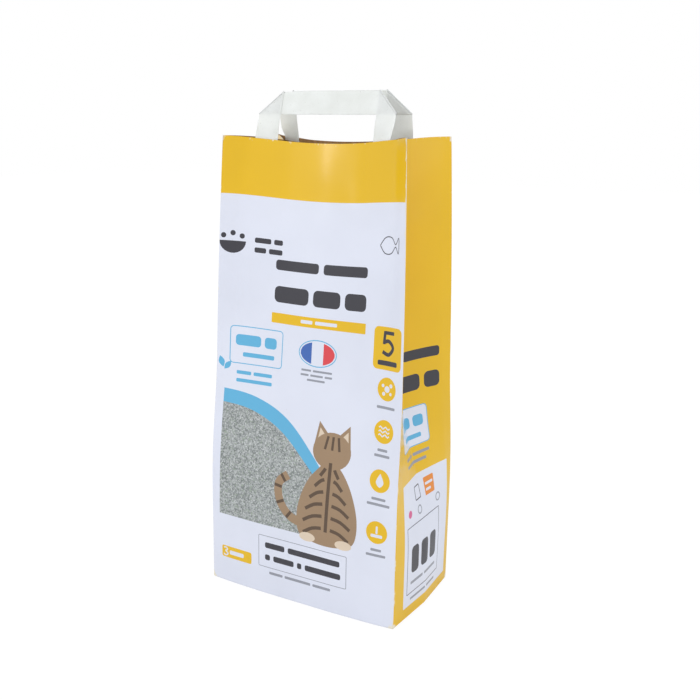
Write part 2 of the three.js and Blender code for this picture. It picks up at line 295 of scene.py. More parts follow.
def wall_table(outline, side, width, sense):
    places = sense * np.linspace(-width / 2, width / 2, round(width / TABLE_STEP) + 1)
    heights = np.linspace(0, TUBE_HEIGHT, TABLE_RISES + 1)
    table = []
    z = 0 * places
    for height in heights:
        x, y = outline(side, places, height)
        x = x + RIM_LEAN[0] * height / TUBE_HEIGHT
        y = y + RIM_LEAN[1] * height / TUBE_HEIGHT
        if table:
            went = (x - table[-1][:, 0]) ** 2 + (y - table[-1][:, 1]) ** 2
            z = z + np.sqrt((TUBE_HEIGHT / TABLE_RISES) ** 2 - went)
        table.append(np.stack([x, y, z], axis=1))
    table = np.array(table)
    if outline is panel_outline:
        hanging = ease(heights, SAG_FROM, TUBE_HEIGHT)[:, None]
        table[:, :, 2] -= RIM_SAG * hanging * np.cos(np.pi * places / PANEL_WIDTH) ** 2
    return table

# The sheet is laid out flat with its left edge on the front left fold. Across it come the
# front panel, the right gusset, the back panel and the left gusset.
WALLS = [
    (0.0, PANEL_WIDTH, wall_table(panel_outline, FRONT, PANEL_WIDTH, 1)),
    (PANEL_WIDTH, GUSSET_WIDTH, wall_table(gusset_outline, RIGHT, GUSSET_WIDTH, 1)),
    (PANEL_WIDTH + GUSSET_WIDTH, PANEL_WIDTH, wall_table(panel_outline, BACK, PANEL_WIDTH, -1)),
    (2 * PANEL_WIDTH + GUSSET_WIDTH, GUSSET_WIDTH, wall_table(gusset_outline, LEFT, GUSSET_WIDTH, -1)),
]
FOLDS = [start for start, _, _ in WALLS] + [tube_girth]
CREASES = sorted(FOLDS + [start + width / 2 for start, width, _ in WALLS[1::2]])
print("tables of", [table.shape[:2] for _, _, table in WALLS])

# %% Points of the sheet
def sharp_sheet(across, height):
    across = np.mod(across, tube_girth)
    points = np.empty(across.shape + (3,))
    for start, width, table in WALLS:
        here = (across >= start) & (across <= start + width)
        column = (across[here] - start) / width * (table.shape[1] - 1)
        row = height[here] / TUBE_HEIGHT * TABLE_RISES
        i = np.minimum(column.astype(int), table.shape[1] - 2)
        j = np.minimum(row.astype(int), TABLE_RISES - 1)
        u, v = (column - i)[:, None], (row - j)[:, None]
        low = table[j, i] * (1 - u) + table[j, i + 1] * u
        high = table[j + 1, i] * (1 - u) + table[j + 1, i + 1] * u
        points[here] = low * (1 - v) + high * v
    return points

def sheet(across, height):
    """Points of the paper's outer face, with every fold rounded over a small length."""
    across, height = np.broadcast_arrays(np.asarray(across, float), np.asarray(height, float))
    points = sharp_sheet(across, height)
    for crease in CREASES:
        near = np.abs(across - crease) < FOLD_ROUNDING
        if near.any():
            share = ((across[near] - crease) / FOLD_ROUNDING + 1)[:, None] / 2
            before, peak, after = (
                sharp_sheet(np.full(near.sum(), crease + side * FOLD_ROUNDING), height[near])
                for side in (-1, 0, 1)
            )
            points[near] = (1 - share) ** 2 * before + 2 * share * (1 - share) * peak + share ** 2 * after
    return points

rim_middle = sheet([PANEL_WIDTH / 2], [TUBE_HEIGHT])[0]
print("middle of the front rim", rim_middle.round(1))

# %% [markdown]
# The print is drawn like a maker's flat artwork: in millimetres on the unrolled sheet,
# before anything is folded. Each printed shape is a closed outline with the name of its
# ink. A picture could be wrapped on the paper instead, but outlines stay sharp from any
# distance, and they become real edges in the mesh.

# %% Drawing tools for the flat artwork
LONGEST_EDGE = 4.0
CORNER_STEPS = 4
BAR_ROUNDING = 0.3
artwork = []

def shifted(points, x, y):
    return [(x + across, y + up) for across, up in points]

def draw(ink, outline):
    """Keeps an outline with its ink, anticlockwise, in steps that can bend with the paper."""
    outline = [(float(x), float(y)) for x, y in outline]
    pairs = list(zip(outline, outline[1:] + outline[:1]))
    fine = []
    for (ax, ay), (bx, by) in pairs:
        count = max(1, math.ceil(math.hypot(bx - ax, by - ay) / LONGEST_EDGE))
        fine += [(ax + (bx - ax) * i / count, ay + (by - ay) * i / count) for i in range(count)]
    doubled_area = sum(ax * by - bx * ay for (ax, ay), (bx, by) in pairs)
    artwork.append((ink, fine if doubled_area > 0 else fine[::-1]))

def rounded_bar(ink, left, low, width, height, radius):
    outline = []
    for corner in range(4):
        centre_x = left + (width - radius if corner in (0, 3) else radius)
        centre_y = low + (height - radius if corner in (0, 1) else radius)
        for i in range(CORNER_STEPS + 1):
            angle = math.pi / 2 * (corner + i / CORNER_STEPS)
            spot = (centre_x + radius * math.cos(angle), centre_y + radius * math.sin(angle))
            outline.append(spot)
    draw(ink, outline)

def oval(ink, x, y, across, up=None, steps=28):
    up = across if up is None else up
    angles = [2 * math.pi * i / steps for i in range(steps)]
    draw(ink, [(x + across * math.cos(a), y + up * math.sin(a)) for a in angles])

def smooth_line(points, steps=6):
    """More points along a soft curve through the given ones."""
    spots = [points[0], *points, points[-1]]
    curve = []
    for before, start, end, after in zip(spots, spots[1:], spots[2:], spots[3:]):
        for i in range(steps):
            t = i / steps
            curve.append(tuple(
                0.5 * (2 * p1 + (p2 - p0) * t + (2 * p0 - 5 * p1 + 4 * p2 - p3) * t ** 2
                       + (3 * p1 - p0 - 3 * p2 + p3) * t ** 3)
                for p0, p1, p2, p3 in zip(before, start, end, after)
            ))
    return [*curve, tuple(points[-1])]

def stroke(ink, points, width):
    """A line of even width, as one closed outline."""
    left, right = [], []
    for i, (x, y) in enumerate(points):
        ahead, behind = points[min(i + 1, len(points) - 1)], points[max(i - 1, 0)]
        dx, dy = ahead[0] - behind[0], ahead[1] - behind[1]
        reach = width / 2 / max(math.hypot(dx, dy), 1e-6)
        left.append((x - dy * reach, y + dx * reach))
        right.append((x + dy * reach, y - dx * reach))
    draw(ink, left + right[::-1])

def word_row(ink, left, low, height, lengths, gap):
    """A row of plain bars, as long as the words of a line of text would be."""
    for length in lengths:
        rounded_bar(ink, left, low, length, height, min(length, height) * BAR_ROUNDING)
        left += length + gap

def word_rows(middle, rows):
    """Rows of bars, each with its left edge counted from the middle of its wall."""
    for ink, left, low, height, lengths, gap in rows:
        word_row(ink, middle + left, low, height, lengths, gap)

def outlined_bar(ink, ground, left, low, width, height, line, radius):
    rounded_bar(ink, left, low, width, height, radius)
    rounded_bar(ground, left + line, low + line, width - 2 * line, height - 2 * line, radius - line)

print("drawing tools ready")

# %% [markdown]
# The front is a white field under a yellow band. Below the headline bars come a yellow
# ribbon, a blue box, a striped oval and a number in a yellow patch. A bank of printed grey
# granules slopes down to the right under a blue sweep, with a plain cat seen from behind at
# its foot, and a column of yellow discs runs down the right side.

# %% Numbers and leaves
# A number is drawn with a pen: each stroke has its places and its width, both in shares of
# the number's height, and whether it is a curve.
FIVE = (
    (((0.30, 0.48), (-0.26, 0.48)), 0.15, False),
    (((-0.22, 0.54), (-0.26, 0)), 0.14, False),
    (((-0.30, 0.06), (0, 0.14), (0.26, -0.12), (0.02, -0.42), (-0.32, -0.32)), 0.16, True),
)
THREE = (
    (((-0.26, 0.40), (0.02, 0.46), (0.22, 0.26), (-0.08, 0.04)), 0.15, True),
    (((-0.08, 0.04), (0.28, -0.18), (0.02, -0.44), (-0.30, -0.34)), 0.15, True),
)
LEAF_WIDTH = 0.26

def number(ink, x, y, size, strokes):
    for places, width, curved in strokes:
        line = shifted([(size * across, size * up) for across, up in places], x, y)
        stroke(ink, smooth_line(line) if curved else line, width * size)

def leaf(ink, x, y, length, turn):
    c, s = math.cos(turn), math.sin(turn)
    sides = [(length * t, length * LEAF_WIDTH * math.sin(math.pi * t) * edge)
             for edge, ts in ((1, (0, .2, .4, .6, .8)), (-1, (1, .8, .6, .4, .2))) for t in ts]
    draw(ink, [(x + c * u - s * v, y + s * u + c * v) for u, v in sides])

print("a five of", len(FIVE), "strokes, a three of", len(THREE))

# %% Signs in discs
DISC_RADIUS = 11
DOTS = ((0, 0, 3.1), (-5, 3, 1.6), (4.6, 3.6, 1.9), (-3.8, -4.6, 1.8), (4.4, -4, 1.5))
DROP = ((0, 7), (3.2, 1.5), (4, -2.5), (0, -6.2), (-4, -2.5), (-3.2, 1.5), (0, 7))

def disc_sign(x, y, kind):
    oval("yellow", x, y, DISC_RADIUS)
    if kind == "dots":
        for across, up, radius in DOTS:
            oval("white", x + across, y + up, radius, steps=12)
    elif kind == "waves":
        for up in (-3.6, 0, 3.6):
            wave = [(x - 6 + 1.5 * i, y + up + 1.1 * math.sin(i * 1.6)) for i in range(9)]
            stroke("white", wave, 1.3)
    elif kind == "drop":
        draw("white", smooth_line(shifted(DROP, x, y), 3)[:-1])
    else:
        rounded_bar("white", x - 6, y - 5, 12, 3, 1)
        rounded_bar("white", x - 1, y - 1.4, 2, 7.5, 0.9)

print("discs", 2 * DISC_RADIUS, "mm wide with dots, waves, a drop or a post")

# %% The printed cat, seen from behind
CAT_BODY = ((-8, 78), (-24, 58), (-33, 30), (-30, 6), (-12, -1),
            (12, -1), (30, 6), (33, 30), (24, 58), (8, 78), (-8, 78))
CAT_TAIL = ((-20, 14), (-40, 19), (-53, 32), (-56, 50), (-46, 60))
CAT_TAIL_WIDTH = 9
CAT_TAIL_BANDS = (7, 12, 17, 21)
CAT_EAR = ((5, 106), (17, 118), (20, 96))
CAT_INNER_EAR = ((9, 105), (15.5, 112), (17, 100))
CAT_STRIPES = ((12, 25), (24, 26), (36, 24), (48, 20), (60, 15), (71, 10))

def cat_tail(x, y):
    tail = smooth_line(shifted(CAT_TAIL, x, y))
    stroke("cat_brown", tail, CAT_TAIL_WIDTH)
    for band in CAT_TAIL_BANDS:
        (ax, ay), (bx, by) = tail[band], tail[band + 1]
        nx, ny = ay - by, bx - ax
        reach = 4.4 / math.hypot(nx, ny)
        stroke("cat_dark", [(ax - nx * reach, ay - ny * reach), (ax + nx * reach, ay + ny * reach)], 3)

def sitting_cat(x, y):
    cat_tail(x, y)
    draw("cat_brown", smooth_line(shifted(CAT_BODY, x, y))[:-1])
    for side in (-1, 1):
        for ink, ear in (("cat_brown", CAT_EAR), ("cat_cream", CAT_INNER_EAR)):
            draw(ink, shifted([(side * across, up) for across, up in ear], x, y))
    oval("cat_brown", x, y + 91, 21, 18)
    for low, reach in CAT_STRIPES:
        for side in (-1, 1):
            stripe = ((side * 5, low + 3), (side * reach * 0.6, low + 1), (side * reach, low - 5))
            stroke("cat_dark", smooth_line(shifted(stripe, x, y), 3), 3.4)
    stroke("cat_dark", [(x, y + 12), (x, y + 80)], 3.6)
    for across in (-8, 0, 8):
        stroke("cat_dark", [(x + across, y + 92), (x + across * 0.7, y + 105)], 2.6)
    for across in (-20, 20):
        oval("cat_cream", x + across, y + 3, 9, 4.5, 16)

print("cat", CAT_EAR[1][1] - CAT_BODY[4][1], "mm tall on the sheet")

# %% Headline of the front
BAND_FROM = 397.0
FRONT_MIDDLE = PANEL_WIDTH / 2

def white_field(middle):
    left, right = middle - PANEL_WIDTH / 2, middle + PANEL_WIDTH / 2
    draw("white", [(left, 0), (right, 0), (right, BAND_FROM), (left, BAND_FROM)])

def bowl_with_dots(x, y):
    half_circle = np.linspace(math.pi, 2 * math.pi, 14)
    draw("dark", [(x + 13 * math.cos(a), y + 12 * math.sin(a)) for a in half_circle])
    for across, up in ((-9, 5), (0, 7.5), (9, 5)):
        oval("dark", x + across, y + up, 2.6, steps=14)

# Each row has its ink, its left and lower edge, its height, the bars' lengths and the gap.
def front_headline(middle):
    white_field(middle)
    bowl_with_dots(middle - 92, 352)
    word_rows(middle, (
        ("dark", -70, 352, 5, (17, 9), 3),
        ("dark", -70, 342.5, 5, (12, 14), 3),
        ("dark", -47, 328.5, 10, (47, 50), 5.5),
        ("dark", -47, 297, 16, (38, 30, 24.5), 5),
    ))
    rounded_bar("yellow", middle - 49, 276.5, 105.5, 10, 0.8)
    word_row("white", middle - 16, 279.8, 3.4, (13, 24), 3)

front_headline(FRONT_MIDDLE)
print(len(artwork), "shapes in the headline")

# %% Blue box and striped oval of the front
def blue_box(middle):
    outlined_bar("blue", "white", middle - 92, 231, 57, 38, 0.9, 4)
    word_rows(middle, (
        ("blue", -86, 249.5, 11, (27, 13), 4),
        ("blue", -78, 238.5, 4.4, (34,), 2),
        ("blue", -84, 220.5, 3.6, (16, 20), 2.6),
        ("blue", -84, 212.5, 3.6, (39,), 2.6),
    ))
    leaf("blue", middle - 98, 226, 12, 1.9)
    leaf("blue", middle - 97, 224, 11, 0.9)

def striped_oval(x, y):
    oval("blue", x, y, 21, 13.4)
    oval("white", x, y, 20, 12.4)
    for ink, start, end in (("flag_blue", -18.6, -6.4), ("flag_red", 6.4, 18.6)):
        rim = [(x + u, y + 11.2 * math.sqrt(1 - (u / 18.8) ** 2)) for u in np.linspace(start, end, 8)]
        draw(ink, rim + [(u, 2 * y - v) for u, v in rim[::-1]])
    for low, lengths in ((233.6, (11, 21)), (229, (9, 14, 8)), (224.4, (20,))):
        half_row = (sum(lengths) + 2 * (len(lengths) - 1)) / 2
        word_row("grey", x - half_row, low, 2, lengths, 2)

blue_box(FRONT_MIDDLE)
striped_oval(FRONT_MIDDLE + 4.6, 252)
print(len(artwork), "shapes with box and oval")

# %% Number and column of signs on the front
FRONT_SIGNS = (
    ("dots", 229, (21,)),
    ("waves", 189.5, (11, 17)),
    ("drop", 143.5, (15, 24)),
    ("post", 94, (11, 20)),
)

def sign_column(middle):
    rounded_bar("yellow", middle + 67, 246.5, 35, 39.5, 5)
    number("dark", middle + 84.5, 270, 22, FIVE)
    word_row("dark", middle + 72.5, 250.5, 4.6, (24,), 2)
    for kind, height, lengths in FRONT_SIGNS:
        disc_sign(middle + 85.5, height, kind)
        for i, length in enumerate(lengths):
            word_row("grey", middle + 85.5 - length / 2, height - 18.5 - 5.2 * i, 2.5, (length,), 2)

sign_column(FRONT_MIDDLE)
print(len(artwork), "shapes with number and signs")

# %% Bank of granules, cat and the bottom row of the front
BANK_CREST = ((-96, 191), (-62, 186), (-26, 169), (8, 140), (38, 110), (48, 101))
SWEEP_TOP = ((-96, 205), (-60, 200), (-22, 183), (12, 152), (41, 116), (48, 101))
BANK_FOOT = 74
FISH = ((68, 359), (74, 366), (82, 366), (88, 360), (93, 366),
        (93, 352), (88, 358), (82, 352), (74, 352), (68, 359))

def bank_and_cat(middle):
    crest, top = smooth_line(BANK_CREST), smooth_line(SWEEP_TOP)
    draw("blue", shifted(top + crest[::-1], middle, 0))
    draw("granules", shifted([*crest, (48, BANK_FOOT), (-96, BANK_FOOT)], middle, 0))
    sitting_cat(middle + 31, 70)

def bottom_row(middle):
    rounded_bar("yellow", middle - 93, 27, 38, 12.5, 2)
    word_row("white", middle - 83, 31, 4.4, (18,), 2)
    number("white", middle - 88, 33.2, 9.5, THREE)
    outlined_bar("grey", "white", middle - 46, 29, 101.5, 34, 0.7, 1.6)
    word_rows(middle, (
        ("dark", -38, 50, 6, (23, 59), 4),
        ("dark", -38, 37, 6, (6, 24, 5, 40), 4),
        ("grey", -33, 22.4, 2.8, (16, 30, 20), 2.5),
    ))
    stroke("dark", smooth_line(shifted(FISH, middle, 0), 4), 0.9)

bank_and_cat(FRONT_MIDDLE)
bottom_row(FRONT_MIDDLE)
print(len(artwork), "shapes on the front")

# %% [markdown]
# The gussets are yellow with the headline again, a small blue box and a white panel near
# the bottom. The back repeats the white field and carries rows of plain bars where a bag
# has its directions for use.

# %% Gussets
def ring(x, y):
    oval("grey", x, y, 4.6)
    oval("white", x, y, 3.2)

def gusset_print(middle):
    word_rows(middle, (
        ("dark", -46, 244, 10, (44, 42), 5),
        ("dark", -46, 214, 16, (36, 27, 18), 5),
    ))
    outlined_bar("blue", "white", middle - 30, 161, 58, 38, 0.9, 4)
    word_rows(middle, (
        ("blue", -23, 179, 11, (28, 13), 4),
        ("blue", -17, 168, 4.4, (34,), 2),
        ("grey", -22, 152, 3, (20, 24), 3),
        ("grey", -22, 145, 3, (41,), 3),
    ))
    rounded_bar("white", middle - 43, 12, 94, 123, 1)
    rounded_bar("orange", middle + 8, 110, 17, 18, 1)
    word_row("white", middle + 10, 120, 2.6, (13,), 1)
    word_row("white", middle + 10, 114, 2.6, (9,), 1)
    outlined_bar("dark", "white", middle - 14, 112, 13, 14, 1.1, 1.5)
    ring(middle - 8, 102)
    oval("pink", middle - 29, 104, 3.8)
    ring(middle + 30, 102)
    outlined_bar("dark", "white", middle - 37, 24, 68, 68, 0.8, 1)
    word_rows(middle, (
        ("dark", -29, 44, 27, (14, 14, 14), 5),
        ("grey", -30, 33, 3, (24, 26), 3),
        ("grey", -30, 17, 2.4, (30, 20), 3),
    ))

gusset_print(PANEL_WIDTH + GUSSET_WIDTH / 2)
print(len(artwork), "shapes with the right gusset")

# %% Back panel, and the left gusset after it
LINE_LENGTHS = ((30, 22, 41, 26), (44, 18, 30, 24), (26, 37, 33), (35, 29, 19, 28), (22, 45, 30))

def back_print(middle):
    white_field(middle)
    word_rows(middle, (
        ("dark", -80, 340, 10, (58, 62, 30), 5),
        ("dark", -80, 309, 16, (50, 68, 32), 5),
    ))
    rounded_bar("yellow", middle - 82, 288, 164, 10, 0.8)
    for block, (kind, high) in enumerate((("dots", 264), ("waves", 204), ("drop", 144))):
        disc_sign(middle - 78, high - 12, kind)
        for i in range(5):
            lengths = [length * 0.92 for length in LINE_LENGTHS[(i + block) % 5]]
            word_row("grey", middle - 58, high - 8.5 * i - 4, 2.8, lengths, 3)
    outlined_bar("blue", "white", middle - 84, 38, 168, 56, 0.9, 4)
    for i in range(4):
        lengths = [length * 1.12 for length in LINE_LENGTHS[i]]
        word_row("blue", middle - 74, 80 - 10 * i, 3.4, lengths, 3)
    word_row("grey", middle - 60, 22.4, 2.8, (36, 30, 40), 2.5)

back_print(1.5 * PANEL_WIDTH + GUSSET_WIDTH)
gusset_print(2 * PANEL_WIDTH + 1.5 * GUSSET_WIDTH)
print(len(artwork), "shapes on the whole sheet")

# %% [markdown]
# Now the flat sheet becomes a mesh. A grid of points covers it, closer together at the
# folds, and the printed outlines are laid over the grid. One triangulation joins all of it
# into a clean net, and remembers which outlines cover each triangle, so the last one drawn
# gives the triangle its ink. The grid's lines beside a fold are kept as edges, so no
# triangle cuts across the rounding.

# %% Grid of the sheet
PANEL_GRID = 4.4
RISE_GRID = 7.0
BAND_ROWS = 9
BASE_FOLD_RADIUS = 1.5
JOIN_WITHIN = 1e-4

def grid_columns():
    columns = set()
    for start, end in zip(CREASES, CREASES[1:]):
        near = [0, FOLD_ROUNDING / 2, FOLD_ROUNDING]
        columns.update(start + d for d in near)
        columns.update(end - d for d in near)
        count = max(2, round((end - start) / PANEL_GRID))
        columns.update(np.linspace(start + FOLD_ROUNDING, end - FOLD_ROUNDING, count))
    return sorted({round(c, 4) for c in columns})

def grid_rows():
    rows = list(np.linspace(BASE_FOLD_RADIUS, BAND_FROM, round(BAND_FROM / RISE_GRID)))
    rows += list(np.linspace(BAND_FROM, TUBE_HEIGHT, BAND_ROWS))[1:]
    return [round(float(r), 4) for r in rows]

columns, rows = grid_columns(), grid_rows()
print(len(columns), "columns and", len(rows), "rows")

# %% Net of triangles with an ink each
def printed_net():
    verts = [Vector((c, r)) for r in rows for c in columns]
    count = len(columns)
    edges = []
    for column, across in enumerate(columns):
        if min(abs(across - crease) for crease in CREASES) <= FOLD_ROUNDING:
            edges += [(r * count + column, (r + 1) * count + column) for r in range(len(rows) - 1)]
    faces = []
    for ink, outline in artwork:
        clipped = [(x, max(y, rows[0])) for x, y in outline]
        faces.append(range(len(verts), len(verts) + len(clipped)))
        verts += [Vector(point) for point in clipped]
    points, _, triangles, _, _, sources = delaunay_2d_cdt(verts, edges, faces, 0, JOIN_WITHIN, True)
    inks = [artwork[max(source)][0] if source else "yellow" for source in sources]
    return np.array([tuple(p) for p in points]), triangles, inks

net_points, net_faces, net_inks = printed_net()
print(len(net_points), "points and", len(net_faces), "triangles in the printed net")

# %% [markdown]
# Filled paper is never quite smooth. It buckles softly between its folds, more above the
# filling, where nothing presses it flat. A few slow waves added square to the surface give
# the highlights something to break on. They fade out towards every fold and under the rim,
# where the band bows in between the handle legs instead.

# %% Slack and facing of the paper
BUCKLE = 0.55
BOW_DEPTH = 2.6
BOW_SHARPNESS = 1.3
BOW_RISES = (290, 445)
CALM_BESIDE_FOLD = (2, 24)
CALM_ABOVE_BASE = (12, 60)
ABOVE_FILLING = (150, 260)
UNDER_RIM = (380, 430)
RIDGE_HEIGHT = 1.4
# Distances from the ridge's fold, and the share of its height that it has there.
RIDGE_SHAPE = ((0, 14.0, 15.5, 50, 58), (0, 1, 1, 0.1, 0))
# Each wave has its strength, its turns across and upwards in radians a millimetre, and a start.
SLACK_WAVES = (
    (1.0, 0.081, 0.021, 1.3),
    (0.7, 0.043, -0.047, 4.1),
    (0.45, 0.139, 0.062, 2.2),
    (0.35, -0.031, 0.113, 0.0),
)

def from_crease(across, creases):
    return np.min([np.abs(across - crease) for crease in creases], axis=0)

def rim_bow(across, height):
    """Between its handle legs the rim bows a little into the bag."""
    bow = np.zeros(np.shape(across))
    for start in (FOLDS[0], FOLDS[2]):
        reach = np.clip((across - start - PANEL_WIDTH / 2) / leg_inner, -1, 1)
        shape = np.abs(np.cos(reach * np.pi / 2)) ** BOW_SHARPNESS
        bow = bow - BOW_DEPTH * shape * ease(height, *BOW_RISES)
    return bow

def gusset_ridge(across, height):
    """A soft ridge near the back fold of each gusset, left from when the bag lay flat."""
    ridge = np.zeros(np.shape(across))
    for fold, sense in ((FOLDS[2], 1), (FOLDS[3], -1)):
        inwards = sense * (fold - across)
        ridge = ridge + np.interp(inwards, *RIDGE_SHAPE)
    return RIDGE_HEIGHT * ridge * ease(height, 20, 120)

def wave_sum(waves, across, height):
    return sum(
        strength * np.sin(across * sideways + height * upwards + start)
        for strength, sideways, upwards, start in waves
    )

def slack(across, height):
    """How far the paper stands out of its plain form, in millimetres."""
    calm = ease(from_crease(across, CREASES), *CALM_BESIDE_FOLD) * ease(height, *CALM_ABOVE_BASE)
    loose = 0.45 + 0.55 * ease(height, *ABOVE_FILLING) - 0.75 * ease(height, *UNDER_RIM)
    buckled = BUCKLE * 0.5 * wave_sum(SLACK_WAVES, across, height) * calm * loose
    return buckled + rim_bow(across, height) + gusset_ridge(across, height)

NUDGE_OPEN, NUDGE_AT_FOLD, NUDGE_UP = 1.2, 0.3, 4

def facing(across, height):
    """Outward directions of the sheet, from points a little to each side."""
    nudge = np.where(from_crease(across, CREASES) > 2 * FOLD_ROUNDING, NUDGE_OPEN, NUDGE_AT_FOLD)
    low, high = np.maximum(height - NUDGE_UP, 0), np.minimum(height + NUDGE_UP, TUBE_HEIGHT)
    sideways = sheet(across + nudge, height) - sheet(across - nudge, height)
    upwards = sheet(across, high) - sheet(across, low)
    out = np.cross(sideways, upwards)
    return out / np.linalg.norm(out, axis=1, keepdims=True)

def paper_face(across, height):
    """Points and outward directions of the finished outer face."""
    plain, out = sheet(across, height), facing(across, height)
    step = 1.0
    lift = slack(across, height)
    slope_across = (slack(across + step, height) - slack(across - step, height)) / (2 * step)
    slope_up = (slack(across, height + step) - slack(across, height - step)) / (2 * step)
    sideways = np.cross(np.array([0.0, 0.0, 1.0]), out)
    sideways /= np.linalg.norm(sideways, axis=1, keepdims=True)
    upwards = np.cross(out, sideways)
    tilted = out - sideways * slope_across[:, None] - upwards * slope_up[:, None]
    tilted /= np.linalg.norm(tilted, axis=1, keepdims=True)
    return plain + out * lift[:, None], out, tilted

net_places, net_out, net_normals = paper_face(net_points[:, 0], net_points[:, 1])
most_slack = float(np.abs(slack(net_points[:, 0], net_points[:, 1])).max())
print("the paper stands out by up to", round(most_slack, 2), "mm")

# %% [markdown]
# The paper is one thin folded sheet, so it is one mesh: the printed face outside, the brown
# face inside, the cut edge round the mouth and the flaps of the bottom. Where two walls
# meet in a sharp corner, the inner face moves closer to the outer one, or the two sides of
# the corner would pass through each other.

# %% Mesh builder for the paper
class Sheets:
    """Gathers faces with an ink and a corner direction each, and their flat places."""
    def __init__(self):
        self.points, self.normals, self.flat, self.faces, self.inks = [], [], [], [], []

    def add(self, points, normals, flat, faces, inks):
        base = len(self.points)
        self.points += [tuple(p) for p in points]
        self.normals += [tuple(n) for n in normals]
        self.flat += [tuple(f) for f in flat]
        self.faces += [[base + i for i in face] for face in faces]
        self.inks += list(inks)

    def build(self, name, finishes):
        mesh = bpy.data.meshes.new(name)
        mesh.from_pydata([Vector(p) * MM for p in self.points], [], self.faces)
        names = sorted(set(self.inks))
        for ink in names:
            mesh.materials.append(finishes[ink])
        mesh.polygons.foreach_set("material_index", [names.index(ink) for ink in self.inks])
        mesh.polygons.foreach_set("use_smooth", [True] * len(self.faces))
        unrolled = mesh.uv_layers.new(name="unrolled")
        corners = np.empty(len(mesh.loops), int)
        mesh.loops.foreach_get("vertex_index", corners)
        unrolled.data.foreach_set("uv", (np.array(self.flat)[corners] * MM).ravel())
        mesh.normals_split_custom_set_from_vertices(self.normals)
        return add_object(name, mesh)

def strips(count_across, count_up, flip=False):
    """Four-cornered faces of a grid that was listed row by row."""
    faces = []
    for row in range(count_up - 1):
        for i in range(count_across - 1):
            a = row * count_across + i
            face = (a, a + 1, a + count_across + 1, a + count_across)
            faces.append(face[::-1] if flip else face)
    return faces

paper = Sheets()
paper.add(net_places, net_normals, net_points, net_faces, net_inks)
print("printed face:", len(net_faces), "triangles")

# %% Brown inner face and the cut edge of the rim
FLOOR_INSIDE = 2.4
THINNEST_PLY = 0.1
STRAIGHT_UP = (0.0, 0.0, 1.0)

def ply_depth(across, height):
    """Thickness of the paper, less near a sharp corner of the tube."""
    corner = np.pi / 2 - panel_turn(height) - gusset_turn(height)
    gap = from_crease(across, FOLDS) * np.sin(corner)
    return np.clip(0.42 * gap + THINNEST_PLY, THINNEST_PLY, PAPER_THICKNESS)

inside_rows = [FLOOR_INSIDE, *[r for r in rows if r > FLOOR_INSIDE + 2]]
flat_inside = np.array([(c, r) for r in inside_rows for c in columns])
places, out, tilted = paper_face(flat_inside[:, 0], flat_inside[:, 1])
inner = places - out * ply_depth(flat_inside[:, 0], flat_inside[:, 1])[:, None]
inner_faces = strips(len(columns), len(inside_rows), flip=True)
paper.add(inner, -tilted, flat_inside, inner_faces, ["kraft"] * len(inner_faces))

count = len(columns)
rim_flat = [*flat_inside[-count:]] * 2
rim_faces = strips(count, 2)
rim_inks = ["cut_edge"] * len(rim_faces)
paper.add([*places[-count:], *inner[-count:]], [STRAIGHT_UP] * (2 * count), rim_flat, rim_faces, rim_inks)

floor_ring = inner[:count - 1]
floor_face = [range(count - 1)]
paper.add(floor_ring, [STRAIGHT_UP] * (count - 1), floor_ring[:, :2], floor_face, ["kraft"])
print("inner face:", len(inner_faces), "faces, rim", len(rim_faces))

# %% [markdown]
# The bottom is folded like a parcel. The side walls are turned in first and leave two
# triangles, the back flap lies over them and the front flap is glued on last, so seen from
# below each layer is one paper lower than the next.

# %% Rounded lower edge
FLAP_STEP = 0.4
FLAP_OVERLAP = 15.0
BASE_EDGE_STEPS = 4
APEX = (PANEL_WIDTH - GUSSET_WIDTH) / 2

def flap_level(across):
    """Height of the lowest layer along the base edge: front 0, back one step, sides two."""
    on_gusset = ((across > FOLDS[1]) & (across < FOLDS[2])) | (across > FOLDS[3])
    on_back = (across >= CREASES[2]) & (across <= CREASES[5])
    panel_level = np.where(on_back, FLAP_STEP, 0.0)
    rise = np.where(on_gusset, ease(from_crease(across, FOLDS), 0, 4), 0.0)
    return panel_level + (2 * FLAP_STEP - panel_level) * rise

across_all = np.array(columns)
edge_level = flap_level(across_all)
low_places, low_out, _ = paper_face(across_all, np.full(len(columns), BASE_FOLD_RADIUS))
edge_rings, edge_normals = [], []
for i in range(BASE_EDGE_STEPS + 1):
    angle = math.pi / 2 * i / BASE_EDGE_STEPS
    ring_points = low_places - low_out * (BASE_FOLD_RADIUS * (1 - math.cos(angle)))
    ring_points[:, 2] = low_places[:, 2] - (low_places[:, 2] - edge_level) * math.sin(angle)
    edge_rings.append(ring_points)
    edge_normals.append(low_out * math.cos(angle) + np.array([0, 0, -math.sin(angle)]))
edge_flat = [(c, BASE_FOLD_RADIUS - 0.3 * i) for i in range(BASE_EDGE_STEPS + 1) for c in columns]
edge_faces = strips(len(columns), BASE_EDGE_STEPS + 1, flip=True)
edge_inks = ["white" if c < FOLDS[1] or FOLDS[2] <= c < FOLDS[3] else "yellow" for c in columns[:-1]]
paper.add(np.concatenate(edge_rings), np.concatenate(edge_normals), edge_flat, edge_faces,
          edge_inks * BASE_EDGE_STEPS)
print("base edge", len(edge_faces), "faces")

